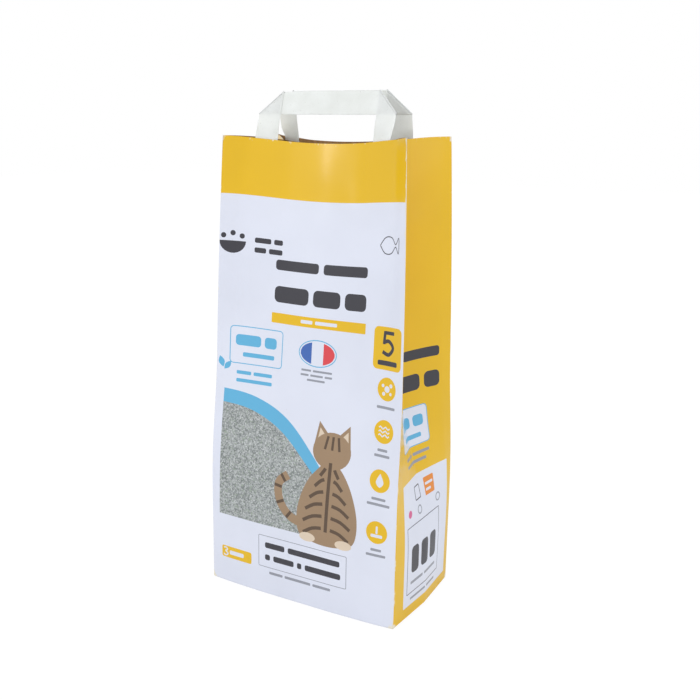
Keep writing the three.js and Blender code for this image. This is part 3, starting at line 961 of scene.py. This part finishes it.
# %% Flaps of the bottom
def flap(ink, first_fold, last_fold, tips, level):
    start, end = (int(np.abs(across_all - fold).argmin()) for fold in (first_fold, last_fold))
    outline = [*edge_rings[-1][start:end + 1], *[(x, y, level) for x, y in tips]]
    outline = [(x, y, level if 0 < i < end - start else z) for i, (x, y, z) in enumerate(outline)]
    downwards = []
    for a, b, c in tessellate_polygon([[Vector((x, y, 0)) for x, y, _ in outline]]):
        (ax, ay, _), (bx, by, _), (cx, cy, _) = outline[a], outline[b], outline[c]
        turns_left = (bx - ax) * (cy - ay) - (by - ay) * (cx - ax) > 0
        downwards.append((c, b, a) if turns_left else (a, b, c))
    flat = [(PANEL_WIDTH / 2 + 0.4 * x, 60 + 0.3 * y) for x, y, _ in outline]
    paper.add(outline, [(0, 0, -1)] * len(outline), flat, downwards, [ink] * len(downwards))
    return outline[0][:2], outline[end - start][:2]

right_tip, left_tip = (APEX, 0), (-APEX, 0)
overlap = [right_tip, (APEX, FLAP_OVERLAP), (-APEX, FLAP_OVERLAP), left_tip]
front_left, front_right = flap("white", FOLDS[0], FOLDS[1], overlap, 0.0)
back_right, back_left = flap("white", FOLDS[2], FOLDS[3], overlap[::-1], FLAP_STEP)
flap("yellow", FOLDS[1], FOLDS[2], [right_tip], 2 * FLAP_STEP)
flap("yellow", FOLDS[3], FOLDS[4], [left_tip], 2 * FLAP_STEP)
print("four flaps, each", FLAP_STEP, "mm from the next")

# %% Edges of the flaps
def flap_edge(corners, low, high):
    """The folded edge of a flap, from its own level up to the layer above it."""
    for (ax, ay), (bx, by) in zip(corners, corners[1:]):
        out = Vector((bx - ax, by - ay, 0)).cross(Vector((0, 0, 1))).normalized()
        points = [(ax, ay, low), (bx, by, low), (bx, by, high), (ax, ay, high)]
        flat = [(60 + 0.4 * x, 60) for x, _, _ in points]
        paper.add(points, [out] * 4, flat, [(0, 1, 2, 3)], ["cut_edge"])

flap_edge([front_right, right_tip], 0, 2 * FLAP_STEP)
flap_edge(overlap, 0, FLAP_STEP)
flap_edge([left_tip, front_left], 0, 2 * FLAP_STEP)
flap_edge([right_tip, back_right], FLAP_STEP, 2 * FLAP_STEP)
flap_edge([back_left, left_tip], FLAP_STEP, 2 * FLAP_STEP)
print("the front flap reaches", FLAP_OVERLAP, "mm past the middle, over the back flap")

# %% [markdown]
# A paper tube is glued along its length. The seam is on the back, next to a fold, where
# the last centimetre of the sheet lies over the first.

# %% Glued seam on the back
SEAM_WIDTH = 12.0
# The first two columns lie one above the other: they are the step at the seam's edge.
SEAM_LIFTS = (0.0, 0.18, 0.19, 0.19, 0.19)
seam_across = FOLDS[3] - FOLD_ROUNDING - SEAM_WIDTH + np.linspace(0, SEAM_WIDTH, len(SEAM_LIFTS))
seam_across[1] = seam_across[0]
seam_flat = np.array([(c, r) for r in rows for c in seam_across])
seam_places, seam_out, seam_tilted = paper_face(seam_flat[:, 0], seam_flat[:, 1])
seam_points = seam_places + seam_out * np.tile(SEAM_LIFTS, len(rows))[:, None]
seam_inks = []
for height in rows[:-1]:
    field = "yellow" if height >= BAND_FROM - 0.1 else "white"
    seam_inks += ["seam"] + [field] * (len(SEAM_LIFTS) - 2)
paper.add(seam_points, seam_tilted, seam_flat, strips(len(SEAM_LIFTS), len(rows)), seam_inks)
print("seam", SEAM_WIDTH, "mm wide")

# %% [markdown]
# The outside is coated paper, smooth enough for a soft wide highlight. Its inks differ only
# in colour. Where a fold has rubbed against things, the coating cracks and pale fibre shows
# in short flecks. How worn each place is comes from its distance to the nearest fold and is
# stored with the points, and noise in the finish breaks it into flecks.

# %% Colours and worn places
def linear(red, green, blue):
    """A colour given as on a paint chart, 0 to 255, in the linear values of the shader."""
    def one(value):
        value /= 255
        return value / 12.92 if value <= 0.04045 else ((value + 0.055) / 1.055) ** 2.4
    return one(red), one(green), one(blue), 1.0

BRUISE_WIDTH = 2.8
BRUISE_RISES = (300, 385)

def worn_share(across, height):
    """How rubbed the sheet is, from 0 to 1."""
    fold = 1 - ease(from_crease(across, FOLDS), 0.5, 2.6)
    top_right = np.exp(-((across - FOLDS[1]) / BRUISE_WIDTH) ** 2) * ease(height, *BRUISE_RISES)
    corner = 1 - ease(np.hypot(from_crease(across, FOLDS), height), 2, 9)
    rim = 1 - ease(TUBE_HEIGHT - height, 0.2, 1.6)
    base = 1 - ease(height, 0.5, 2.4)
    return np.clip(0.34 * fold + 0.5 * top_right + 0.5 * corner + 0.3 * rim + 0.28 * base, 0, 0.95)

print("fold at mid height is worn", round(float(worn_share(np.array([0.0]), np.array([200.0]))[0]), 2))

# %% Helper for finishes
class Finish:
    """A material under construction, with short calls for its nodes."""
    def __init__(self, name, colour, roughness):
        self.material = bpy.data.materials.new(name)
        self.material.use_nodes = True
        self.material.diffuse_color = colour
        self.nodes = self.material.node_tree.nodes
        self.links = self.material.node_tree.links
        self.shader = self.nodes["Principled BSDF"]
        self.shader.inputs["Base Color"].default_value = colour
        self.shader.inputs["Roughness"].default_value = roughness
        self.shader.inputs["Specular IOR Level"].default_value = 0.3

    def node(self, kind, **settings):
        node = self.nodes.new("ShaderNode" + kind)
        for key, value in settings.items():
            setattr(node, key, value)
        return node

    def wire(self, source, target, socket):
        self.links.new(source, target.inputs[socket])
        return target

    def noise(self, scale, detail, stretch=(1, 1, 1)):
        coordinates = self.node("TexCoord")
        mapping = self.node("Mapping")
        mapping.inputs["Scale"].default_value = stretch
        self.wire(coordinates.outputs["Object"], mapping, "Vector")
        noise = self.node("TexNoise")
        noise.inputs["Scale"].default_value = scale
        noise.inputs["Detail"].default_value = detail
        self.wire(mapping.outputs[0], noise, "Vector")
        return noise.outputs["Fac"]

    def range(self, source, low, high, to_low=0.0, to_high=1.0):
        node = self.node("MapRange")
        node.inputs["From Min"].default_value = low
        node.inputs["From Max"].default_value = high
        node.inputs["To Min"].default_value = to_low
        node.inputs["To Max"].default_value = to_high
        return self.wire(source, node, "Value").outputs[0]

    def maths(self, operation, first, second):
        node = self.node("Math", operation=operation)
        for socket, value in enumerate((first, second)):
            if isinstance(value, (int, float)):
                node.inputs[socket].default_value = value
            else:
                self.links.new(value, node.inputs[socket])
        return node.outputs[0]

    def mix(self, share, first, second):
        node = self.node("Mix", data_type="RGBA")
        for socket, value in ((0, share), (6, first), (7, second)):
            if isinstance(value, (tuple, float)):
                node.inputs[socket].default_value = value
            else:
                self.links.new(value, node.inputs[socket])
        return node.outputs[2]

    def bump(self, height, distance, strength):
        node = self.node("Bump")
        node.inputs["Strength"].default_value = strength
        node.inputs["Distance"].default_value = distance
        self.wire(height, node, "Height")
        self.wire(node.outputs[0], self.shader, "Normal")

print("finish helper ready")

# %% Coated paper
BARE_FIBRE = linear(232, 222, 200)
PRINT_ROUGHNESS = 0.4
COAT_WEIGHT = 0.4
COAT_ROUGHNESS = 0.14
CRUMPLE_DEPTH = 0.0003
# Noise scales count the ripples in a metre.
TONE_SCALE, CRUMPLE_SCALE, SHEEN_SCALE = 16, 38, 60
FLECK_SCALE, STONE_SCALE, GRAIN_SCALE = 420, 800, 1500

def coated_paper(name, colour, colour_node=None):
    finish = Finish(name, colour, PRINT_ROUGHNESS)
    tone = finish.range(finish.noise(TONE_SCALE, 2.0), 0.3, 0.7)
    darker = tuple(c * 0.95 for c in colour[:3]) + (1.0,)
    ground = finish.mix(tone, darker, colour) if colour_node is None else colour_node(finish)
    worn = finish.node("Attribute", attribute_name="worn").outputs["Fac"]
    flecks = finish.noise(FLECK_SCALE, 4.0, stretch=(1, 1, 0.35))
    rubbed = finish.range(finish.maths("ADD", worn, flecks), 0.86, 1.02)
    finish.wire(finish.mix(rubbed, ground, BARE_FIBRE), finish.shader, "Base Color")
    gloss = finish.noise(SHEEN_SCALE, 3.0)
    sheen = finish.range(gloss, 0.3, 0.7, PRINT_ROUGHNESS - 0.04, PRINT_ROUGHNESS + 0.06)
    matt = finish.maths("MULTIPLY", rubbed, 0.8)
    finish.wire(finish.maths("MAXIMUM", sheen, matt), finish.shader, "Roughness")
    finish.shader.inputs["Coat Weight"].default_value = COAT_WEIGHT
    finish.shader.inputs["Coat Roughness"].default_value = COAT_ROUGHNESS
    grain = finish.maths("MULTIPLY", finish.noise(GRAIN_SCALE, 2.0), 0.035)
    crumple = finish.noise(CRUMPLE_SCALE, 2.0)
    finish.bump(finish.maths("ADD", crumple, grain), CRUMPLE_DEPTH, 0.55)
    return finish.material

def printed_granules(finish):
    """Small grey stones as they are printed: little cells, each of its own grey."""
    cells = finish.node("TexVoronoi", feature="F1")
    cells.inputs["Scale"].default_value = STONE_SCALE
    places = finish.node("UVMap", uv_map="unrolled")
    finish.wire(places.outputs[0], cells, "Vector")
    tint = finish.node("SeparateColor")
    finish.wire(cells.outputs["Color"], tint, "Color")
    greys = finish.mix(tint.outputs[0], linear(120, 125, 122), linear(212, 214, 212))
    shade = finish.range(cells.outputs["Distance"], 0.0, 0.75, 0.0, 0.4)
    greys = finish.mix(shade, greys, linear(100, 105, 104))
    green = finish.range(tint.outputs[1], 0.9, 0.94)
    return finish.mix(green, greys, linear(150, 160, 146))

print("worn places show", tuple(round(c, 2) for c in BARE_FIBRE[:3]))

# %% Inks
INKS = {
    "white": (224, 226, 237),
    "yellow": (232, 185, 8),
    "dark": (58, 56, 62),
    "blue": (96, 176, 214),
    "grey": (150, 152, 160),
    "granules": (172, 175, 173),
    "cat_brown": (158, 130, 100),
    "cat_dark": (92, 72, 54),
    "cat_cream": (222, 202, 178),
    "flag_blue": (62, 102, 176),
    "flag_red": (222, 70, 76),
    "orange": (232, 138, 44),
    "pink": (214, 84, 138),
}
finishes = {
    ink: coated_paper("ink_" + ink, linear(*chart), printed_granules if ink == "granules" else None)
    for ink, chart in INKS.items()
}
print(len(finishes), "inks")

# %% [markdown]
# Kraft paper is brown, matt and full of long fibres, most of them lying the same way. A
# cut edge is paler, because it shows the white ply beside the brown one.

# %% Kraft paper and cut edges
KRAFT_ROUGHNESS = 0.86
FIBRE_SCALE, CLOUD_SCALE = 260, 30
FIBRE_STRETCH = (1, 1, 0.16)
FIBRE_DEPTH = 0.0003

def kraft_paper(name, colour, fibre_share=1.0):
    finish = Finish(name, colour, KRAFT_ROUGHNESS)
    fibres = finish.noise(FIBRE_SCALE, 5.0, stretch=FIBRE_STRETCH)
    clouds = finish.noise(CLOUD_SCALE, 3.0)
    long_fibres, soft_clouds = finish.maths("MULTIPLY", fibres, 0.7), finish.maths("MULTIPLY", clouds, 0.3)
    both = finish.maths("ADD", long_fibres, soft_clouds)
    pale = tuple(min(1.0, c * (1 + 0.22 * fibre_share)) for c in colour[:3]) + (1.0,)
    deep = tuple(c * (1 - 0.26 * fibre_share) for c in colour[:3]) + (1.0,)
    finish.wire(finish.mix(finish.range(both, 0.35, 0.65), deep, pale), finish.shader, "Base Color")
    finish.bump(both, FIBRE_DEPTH, 0.5)
    return finish.material

finishes["kraft"] = kraft_paper("kraft_inside", linear(178, 136, 90))
finishes["cut_edge"] = kraft_paper("cut_edge", linear(216, 202, 178), 0.4)
finishes["seam"] = kraft_paper("seam_edge", linear(212, 206, 196), 0.3)

print("kraft inside, and paler cut edges")

# %% The finished paper
bag_paper = paper.build("bag_paper", finishes)
flat_places = np.array(paper.flat)
worn = bag_paper.data.attributes.new("worn", "FLOAT", "POINT")
worn.data.foreach_set("value", worn_share(flat_places[:, 0], flat_places[:, 1]))
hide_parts("bag_body")
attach(bag_paper, "root")
print("bag_paper:", len(bag_paper.data.polygons), "faces")

# %% [markdown]
# Each handle is one strip of white paper, pressed flat. Its two legs are glued inside the
# panel and come up over the rim, fold over at 45 degrees and run behind each other as the
# strap. The legs follow the curl of the rim at their feet and keep part of it up to the
# strap. Each length of strip is a thin slab whose long edges are rounded, because they are
# folds too, and a half-round edge joins leg and strap at each corner.

# %% Where a handle runs
HANDLE_RISE = {FRONT: 46.3, BACK: 45.0}
HANDLE_GRIP = 42.0
HANDLE_STRAIGHTENS = {FRONT: 20.0, BACK: 10.0}
HANDLE_KEEPS_CURL = 0.62
HANDLE_LEAN = {FRONT: 17.0, BACK: 11.0}
HANDLE_SHIFT = {FRONT: -1.5, BACK: -4.5}
HANDLE_NUDGE = 0.5
STRIP_THICKNESS = 0.9
LEG_DEPTH = 0.9

def across_of(side, place):
    """Where a place on a panel, measured along +X from its middle, lies on the flat sheet."""
    return PANEL_WIDTH / 2 + place if side == FRONT else FOLDS[2] + PANEL_WIDTH / 2 - place

def handle_face(side, place, rise):
    place, rise = np.broadcast_arrays(np.asarray(place, float), np.asarray(rise, float))
    rim = sheet(across_of(side, place), np.minimum(TUBE_HEIGHT + rise, TUBE_HEIGHT))
    leg = sheet([across_of(side, LEG_SPACING / 2)], [TUBE_HEIGHT])[0]
    lean = math.radians(HANDLE_LEAN[side])
    upwards = np.array([0.0, -side * math.sin(lean), math.cos(lean)])
    curl = leg[1] + HANDLE_KEEPS_CURL * (rim[..., 1] - leg[1])
    flat = np.stack([place + RIM_LEAN[0], curl, 0 * place + leg[2]], axis=-1)
    above = np.maximum(rise, 0)
    share = ease(above, 0, HANDLE_STRAIGHTENS[side])[..., None]
    return rim * (1 - share) + flat * share + upwards * above[..., None]

def in_handle(side, from_middle, rise, depth):
    """Points at a depth inside the handle's outer face, and the direction inwards there."""
    nudge = HANDLE_NUDGE
    place = np.asarray(from_middle, float) + HANDLE_SHIFT[side]
    across = handle_face(side, place + nudge, rise) - handle_face(side, place - nudge, rise)
    up = handle_face(side, place, rise + nudge) - handle_face(side, place, rise - nudge)
    inwards = side * np.cross(across, up)
    inwards /= np.linalg.norm(inwards, axis=-1, keepdims=True)
    return handle_face(side, place, rise) + inwards * np.asarray(depth)[..., None], inwards

strap_middle, _ = in_handle(FRONT, np.array([0.0]), np.array([HANDLE_RISE[FRONT]]), np.array([LEG_DEPTH]))
print("top of the front strap at", strap_middle[0].round(1))

# %% Edges and unevenness of the strip
EDGE_SPOTS = (0.0, 0.06, 0.25, 0.6, 1.0)
STRIP_GRID = 3.6
PLY_WAVES = ((0.5, 0.075, 0.0, 0.6), (0.22, 0.19, -0.11, 0.0), (0.2, 0.03, 0.24, 0.0))

def spots_between(start, end):
    """Places from one edge to the other, crowded at both edges for their rounding."""
    reach = STRIP_THICKNESS / 2
    near = [reach * spot for spot in EDGE_SPOTS]
    inner = np.linspace(start + reach, end - reach, max(2, round((end - start) / STRIP_GRID)))
    return np.array([*[start + d for d in near[:-1]], *inner, *[end - d for d in near[-2::-1]]])

def ply_bend(place, rise):
    """Small unevenness of pressed paper, only above the rim."""
    return 0.5 * wave_sum(PLY_WAVES, place, rise) * ease(rise, 4, 18)

def two_sided(near, far, count_across, count_up, side):
    """Points and faces of a thin sheet with two faces, closed round its border."""
    size = count_across * count_up
    first = strips(count_across, count_up, flip=side == BACK)
    second = [tuple(size + i for i in face[::-1]) for face in first]
    rim = [
        *range(count_across),
        *range(2 * count_across - 1, size, count_across),
        *range(size - 2, size - count_across - 1, -1),
        *range(size - 2 * count_across, 0, -count_across),
    ]
    border = [(b, a, size + a, size + b) if side == FRONT else (a, b, size + b, size + a)
              for a, b in zip(rim, rim[1:] + rim[:1])]
    return np.concatenate([near, far]), first + second + border

def slab(side, places, rises, edge_distance, middle_depth):
    """A length of strip over a grid of places and rises, round at its long edges."""
    reach = STRIP_THICKNESS / 2
    inside = np.clip(edge_distance / reach, 0, 1)
    thick = reach * np.sqrt(1 - (1 - inside) ** 2)
    depth = middle_depth + ply_bend(places, rises)
    near, far = (
        in_handle(side, places.ravel(), rises.ravel(), (depth + sense * thick).ravel())[0]
        for sense in (-1, 1)
    )
    count_up, count_across = places.shape
    return two_sided(near, far, count_across, count_up, side)

print("edges of the strip are rounded over", STRIP_THICKNESS / 2, "mm")

# %% Legs, strap and folded corners
STRAIGHT_ROWS, SLANTED_ROWS = 18, 8
STRAP_COLUMNS = 37
CORNER_PLACES, CORNER_ANGLES = 12, 9

def leg_slab(side, end):
    """A leg from its foot inside the bag up to the slanted fold."""
    slant_from = HANDLE_RISE[side] - STRIP_WIDTH - 2
    straight = np.linspace(-HANDLE_GRIP, slant_from, STRAIGHT_ROWS)
    shares = np.linspace(0, 1, SLANTED_ROWS)[1:]
    places, rises = np.meshgrid(spots_between(leg_inner, leg_outer), [*straight, *shares])
    fold = HANDLE_RISE[side] - (places - leg_inner)
    slanted = np.arange(len(rises))[:, None] >= len(straight)
    rises = np.where(slanted, slant_from + (fold - slant_from) * rises, rises)
    edge = np.minimum(places - leg_inner, leg_outer - places)
    if end == LEFT:
        places, rises, edge = -places[:, ::-1], rises[:, ::-1], edge[:, ::-1]
    return slab(side, places, rises, edge, LEG_DEPTH + STRIP_THICKNESS / 2)

def strap_slab(side):
    top = HANDLE_RISE[side]
    across_strap = np.linspace(-1, 1, STRAP_COLUMNS)
    shares, rises = np.meshgrid(across_strap, spots_between(top - STRIP_WIDTH, top))
    places = shares * (leg_inner + top - rises)
    edge = np.minimum(rises - top + STRIP_WIDTH, top - rises)
    return slab(side, places, rises, edge, LEG_DEPTH + 1.5 * STRIP_THICKNESS)

def corner_edge(side, end):
    """Half-round fold that joins the outside of a leg to the inside of the strap."""
    half_turn = np.linspace(-math.pi / 2, math.pi / 2, CORNER_ANGLES)
    shares, angles = np.meshgrid(np.linspace(0, 1, CORNER_PLACES), half_turn)
    out = STRIP_THICKNESS * np.cos(angles) / math.sqrt(2)
    fold_place = leg_inner + STRIP_WIDTH * shares
    fold_rise = HANDLE_RISE[side] - STRIP_WIDTH * shares
    depth = LEG_DEPTH + STRIP_THICKNESS * (1 + np.sin(angles)) + ply_bend(end * fold_place, fold_rise)
    places, rises = end * (fold_place + out), fold_rise + out
    points, _ = in_handle(side, places.ravel(), rises.ravel(), depth.ravel())
    return points, strips(CORNER_PLACES, CORNER_ANGLES, flip=(side == FRONT) == (end == RIGHT))

def add_mesh(name, points, faces, finish, smooth=True):
    """A piece of one material, from points in millimetres."""
    mesh = bpy.data.meshes.new(name)
    mesh.from_pydata([Vector(p) * MM for p in points], [], faces)
    if smooth:
        mesh.polygons.foreach_set("use_smooth", [True] * len(faces))
    mesh.materials.append(finish)
    return add_object(name, mesh)

def make_handle(name, side, finish):
    points, faces = [], []
    for part_points, part_faces in (
        leg_slab(side, LEFT), leg_slab(side, RIGHT), strap_slab(side),
        corner_edge(side, LEFT), corner_edge(side, RIGHT),
    ):
        faces += [tuple(len(points) + i for i in face) for face in part_faces]
        points += list(part_points)
    return add_mesh(name, points, faces, finish)

print("a handle has two legs, a strap and two folded corners")

# %% [markdown]
# Handle paper is white and uncoated: matt, with a fine tooth, faint grey clouding and a few
# darker flecks. It is thin, so a little light comes through, and subsurface scattering over
# two millimetres gives that without a lamp of its own.

# %% Handle paper, and both handles
HANDLE_ROUGHNESS = 0.72
SOFT_CLOUD_SCALE, TOOTH_SCALE = 45, 900
TOOTH_DEPTH = 0.00035
LIGHT_REACH = 0.002

def handle_paper():
    finish = Finish("handle_paper", linear(229, 230, 225), HANDLE_ROUGHNESS)
    clouds = finish.noise(SOFT_CLOUD_SCALE, 4.0)
    colour = finish.mix(finish.range(clouds, 0.3, 0.7), linear(222, 223, 217), linear(233, 234, 229))
    tooth = finish.noise(TOOTH_SCALE, 3.0)
    flecks = finish.range(tooth, 0.66, 0.74)
    finish.wire(finish.mix(flecks, colour, linear(206, 205, 198)), finish.shader, "Base Color")
    finish.bump(finish.maths("ADD", finish.maths("MULTIPLY", tooth, 0.12), clouds), TOOTH_DEPTH, 0.6)
    finish.shader.inputs["Subsurface Weight"].default_value = 0.8
    finish.shader.inputs["Subsurface Radius"].default_value = (1.0, 1.0, 1.0)
    finish.shader.inputs["Subsurface Scale"].default_value = LIGHT_REACH
    return finish.material

finishes["handle"] = handle_paper()
for name, side in (("front_handle", FRONT), ("back_handle", BACK)):
    handle = make_handle(name + "_strip", side, finishes["handle"])
    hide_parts(name)
    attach(handle, "root")
    print(handle.name, len(handle.data.polygons), "faces")

# %% [markdown]
# A brown patch is glued inside each panel over both handle legs. It lies flat on the
# paper between them and steps up over each leg, so the legs show as two ridges.

# %% Brown patches inside the mouth
PATCH_WIDTH = 162.0
PATCH_HEIGHT = 48.0
PATCH_BELOW_RIM = 4.0
PATCH_THICKNESS = 0.4
PATCH_DEPTH = 0.52
PATCH_CLEARANCE = 0.1
PATCH_CREASE = math.radians(50)
PATCH_COLUMNS, PATCH_ROWS = 55, 17

def patch_lift(place, rise):
    """How far the patch stands up where it covers a leg."""
    distance = np.abs(place)
    onto = ease(distance, leg_inner - 4.5, leg_inner - 0.5)
    off = ease(distance, leg_outer + 0.5, leg_outer + 4.5)
    above_foot = ease(rise, -HANDLE_GRIP - 4, -HANDLE_GRIP - 0.5)
    return onto * (1 - off) * above_foot * (LEG_DEPTH + STRIP_THICKNESS + PATCH_CLEARANCE - PATCH_DEPTH)

def make_patch(name, side, finish):
    half = PATCH_WIDTH / 2
    steps = (leg_inner - 5, leg_inner, leg_outer, leg_outer + 5)
    bends = [end * spot for end in (LEFT, RIGHT) for spot in steps]
    spots = sorted({*np.linspace(-half, half, PATCH_COLUMNS).round(2), *bends})
    levels = np.linspace(-PATCH_BELOW_RIM - PATCH_HEIGHT, -PATCH_BELOW_RIM, PATCH_ROWS)
    places, rises = (grid.ravel() for grid in np.meshgrid(spots, levels))
    face, out, _ = paper_face(across_of(side, places + HANDLE_SHIFT[side]), TUBE_HEIGHT + rises)
    depth = PATCH_DEPTH + patch_lift(places, rises)
    near, far = face - out * depth[:, None], face - out * (depth + PATCH_THICKNESS)[:, None]
    piece = add_mesh(name, *two_sided(near, far, len(spots), len(levels), side), finish)
    piece.data.set_sharp_from_angle(angle=PATCH_CREASE)
    return piece

finishes["patch"] = kraft_paper("patch_kraft", linear(186, 146, 100))
for name, side in (("front_handle_patch", FRONT), ("back_handle_patch", BACK)):
    patch = make_patch(name + "_sheet", side, finishes["patch"])
    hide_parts(name)
    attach(patch, "root")
    print(patch.name, len(patch.data.polygons), "faces")

# %% [markdown]
# The granules are dry clay, crushed and sieved, so each is a small angular lump of its own
# size. The heap underneath is the solid of the measured model with a stony finish. On it
# lie thousands of separate lumps, each a twenty-sided body whose corners are pushed in
# and out at random, from a seed so that every run pours the same heap.

# %% Clay finish
CLAY_ROUGHNESS = 0.95
GRIT_SCALE = 700
GRIT_DEPTH = 0.0004

def clay():
    finish = Finish("dry_clay", linear(188, 186, 178), CLAY_ROUGHNESS)
    finish.shader.inputs["Specular IOR Level"].default_value = 0.2
    tone = finish.node("Attribute", attribute_name="lump_tone").outputs["Fac"]
    grit = finish.noise(GRIT_SCALE, 4.0)
    each_lump, within_lump = finish.maths("MULTIPLY", tone, 0.75), finish.maths("MULTIPLY", grit, 0.35)
    both = finish.maths("ADD", each_lump, within_lump)
    greys = finish.mix(finish.range(both, 0.1, 0.95), linear(140, 139, 132), linear(216, 214, 206))
    green = finish.range(tone, 0.93, 0.97)
    finish.wire(finish.mix(green, greys, linear(150, 158, 138)), finish.shader, "Base Color")
    finish.bump(grit, GRIT_DEPTH, 0.8)
    return finish.material

finishes["clay"] = clay()
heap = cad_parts["clay_litter"]
heap.data.materials.clear()
heap.data.materials.append(finishes["clay"])

# %% The heap's top
HEAP_HEIGHT = 9.0
HEAP_FROM_WALL = 1.6
HEAP_SHARES = (1.0, 0.85, 0.6, 0.3, 0.0)
STATIONS_ON_WALLS = (24, 6, 24, 6)
HEAP_STATIONS = sum(STATIONS_ON_WALLS)

def heap_rings():
    """The rings of points that the heap's top is made of, from its edge to its middle."""
    across = np.concatenate([
        start + width * np.arange(n) / n for (start, width, _), n in zip(WALLS, STATIONS_ON_WALLS)
    ])
    level = np.full(HEAP_STATIONS, FILL_HEIGHT)
    edge = sharp_sheet(across, level) - facing(across, level) * HEAP_FROM_WALL
    middle = np.array([RIM_LEAN[0], RIM_LEAN[1], 0]) * (FILL_HEIGHT / TUBE_HEIGHT)
    middle[2] = edge[0, 2]
    rings = []
    for share in HEAP_SHARES:
        points = middle + (edge - middle) * share
        turns = 6 * np.pi * np.arange(HEAP_STATIONS) / HEAP_STATIONS
        wave = np.sin(turns + 4 * share) * share * (1 - share)
        points[:, 2] = middle[2] + HEAP_HEIGHT * (math.cos(share * math.pi / 2) + wave)
        if share == 1.0:
            points[:, 2] = edge[:, 2]
        rings.append(points)
    return np.array(rings)

def heap_point(rings, share, station):
    """A point on the heap, from its share of the way to the edge and its station round it."""
    outer = next(i for i in range(len(HEAP_SHARES) - 1) if share >= HEAP_SHARES[i + 1])
    inwards = (HEAP_SHARES[outer] - share) / (HEAP_SHARES[outer] - HEAP_SHARES[outer + 1])
    left = int(station) % HEAP_STATIONS
    right, t = (left + 1) % HEAP_STATIONS, station % 1
    on_outer = rings[outer, left] * (1 - t) + rings[outer, right] * t
    on_inner = rings[outer + 1, left] * (1 - t) + rings[outer + 1, right] * t
    return on_outer * (1 - inwards) + on_inner * inwards

print("heap of", len(HEAP_SHARES), "rings with", HEAP_STATIONS, "points each")

# %% Loose granules on the heap
GRANULES = 5200
SEED = 5
FULL_TURN = 6.28
GRANULE_RADII = (0.7, 1.9)
USUAL_SHARE, LARGER = 0.9, 1.25
REACH_TO_WALL = 0.985

def lump_shape():
    ball = bmesh.new()
    bmesh.ops.create_icosphere(ball, subdivisions=1, radius=1.0)
    corners = np.array([tuple(v.co) for v in ball.verts])
    sides = [[v.index for v in face.verts] for face in ball.faces]
    ball.free()
    return corners, sides

def lump(lots, spot, corners):
    """Corners of one granule: its size, turn, stretch and roughness are drawn by lot."""
    size = lots.uniform(*GRANULE_RADII) * (1.0 if lots.random() < USUAL_SHARE else LARGER)
    angle = lots.random() * FULL_TURN
    axis = Vector((lots.gauss(0, 1), lots.gauss(0, 1), lots.gauss(0, 1))).normalized()
    turn = np.array(Matrix.Rotation(angle, 3, axis))
    stretch = np.array([lots.uniform(0.75, 1.2), lots.uniform(0.75, 1.2), lots.uniform(0.6, 1.0)])
    rough = np.array([lots.uniform(0.78, 1.12) for _ in corners])[:, None]
    sunk = np.array([0, 0, lots.uniform(-0.1, 0.7) * size])
    return (corners * rough * stretch) @ turn.T * size + (spot + sunk)

def pour_granules():
    lots = random.Random(SEED)
    rings = heap_rings()
    corners, sides = lump_shape()
    points, faces, tones = [], [], []
    for _ in range(GRANULES):
        share = math.sqrt(lots.random()) * REACH_TO_WALL
        spot = heap_point(rings, share, lots.random() * HEAP_STATIONS)
        faces += [[len(points) + i for i in side] for side in sides]
        points += list(lump(lots, spot, corners))
        tones += [lots.random()] * len(corners)
    piece = add_mesh("loose_granules", points, faces, finishes["clay"], smooth=False)
    piece.data.attributes.new("lump_tone", "FLOAT", "POINT").data.foreach_set("value", tones)
    return piece

granules = pour_granules()
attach(granules, "root")
print(GRANULES, "granules,", len(granules.data.polygons), "faces")
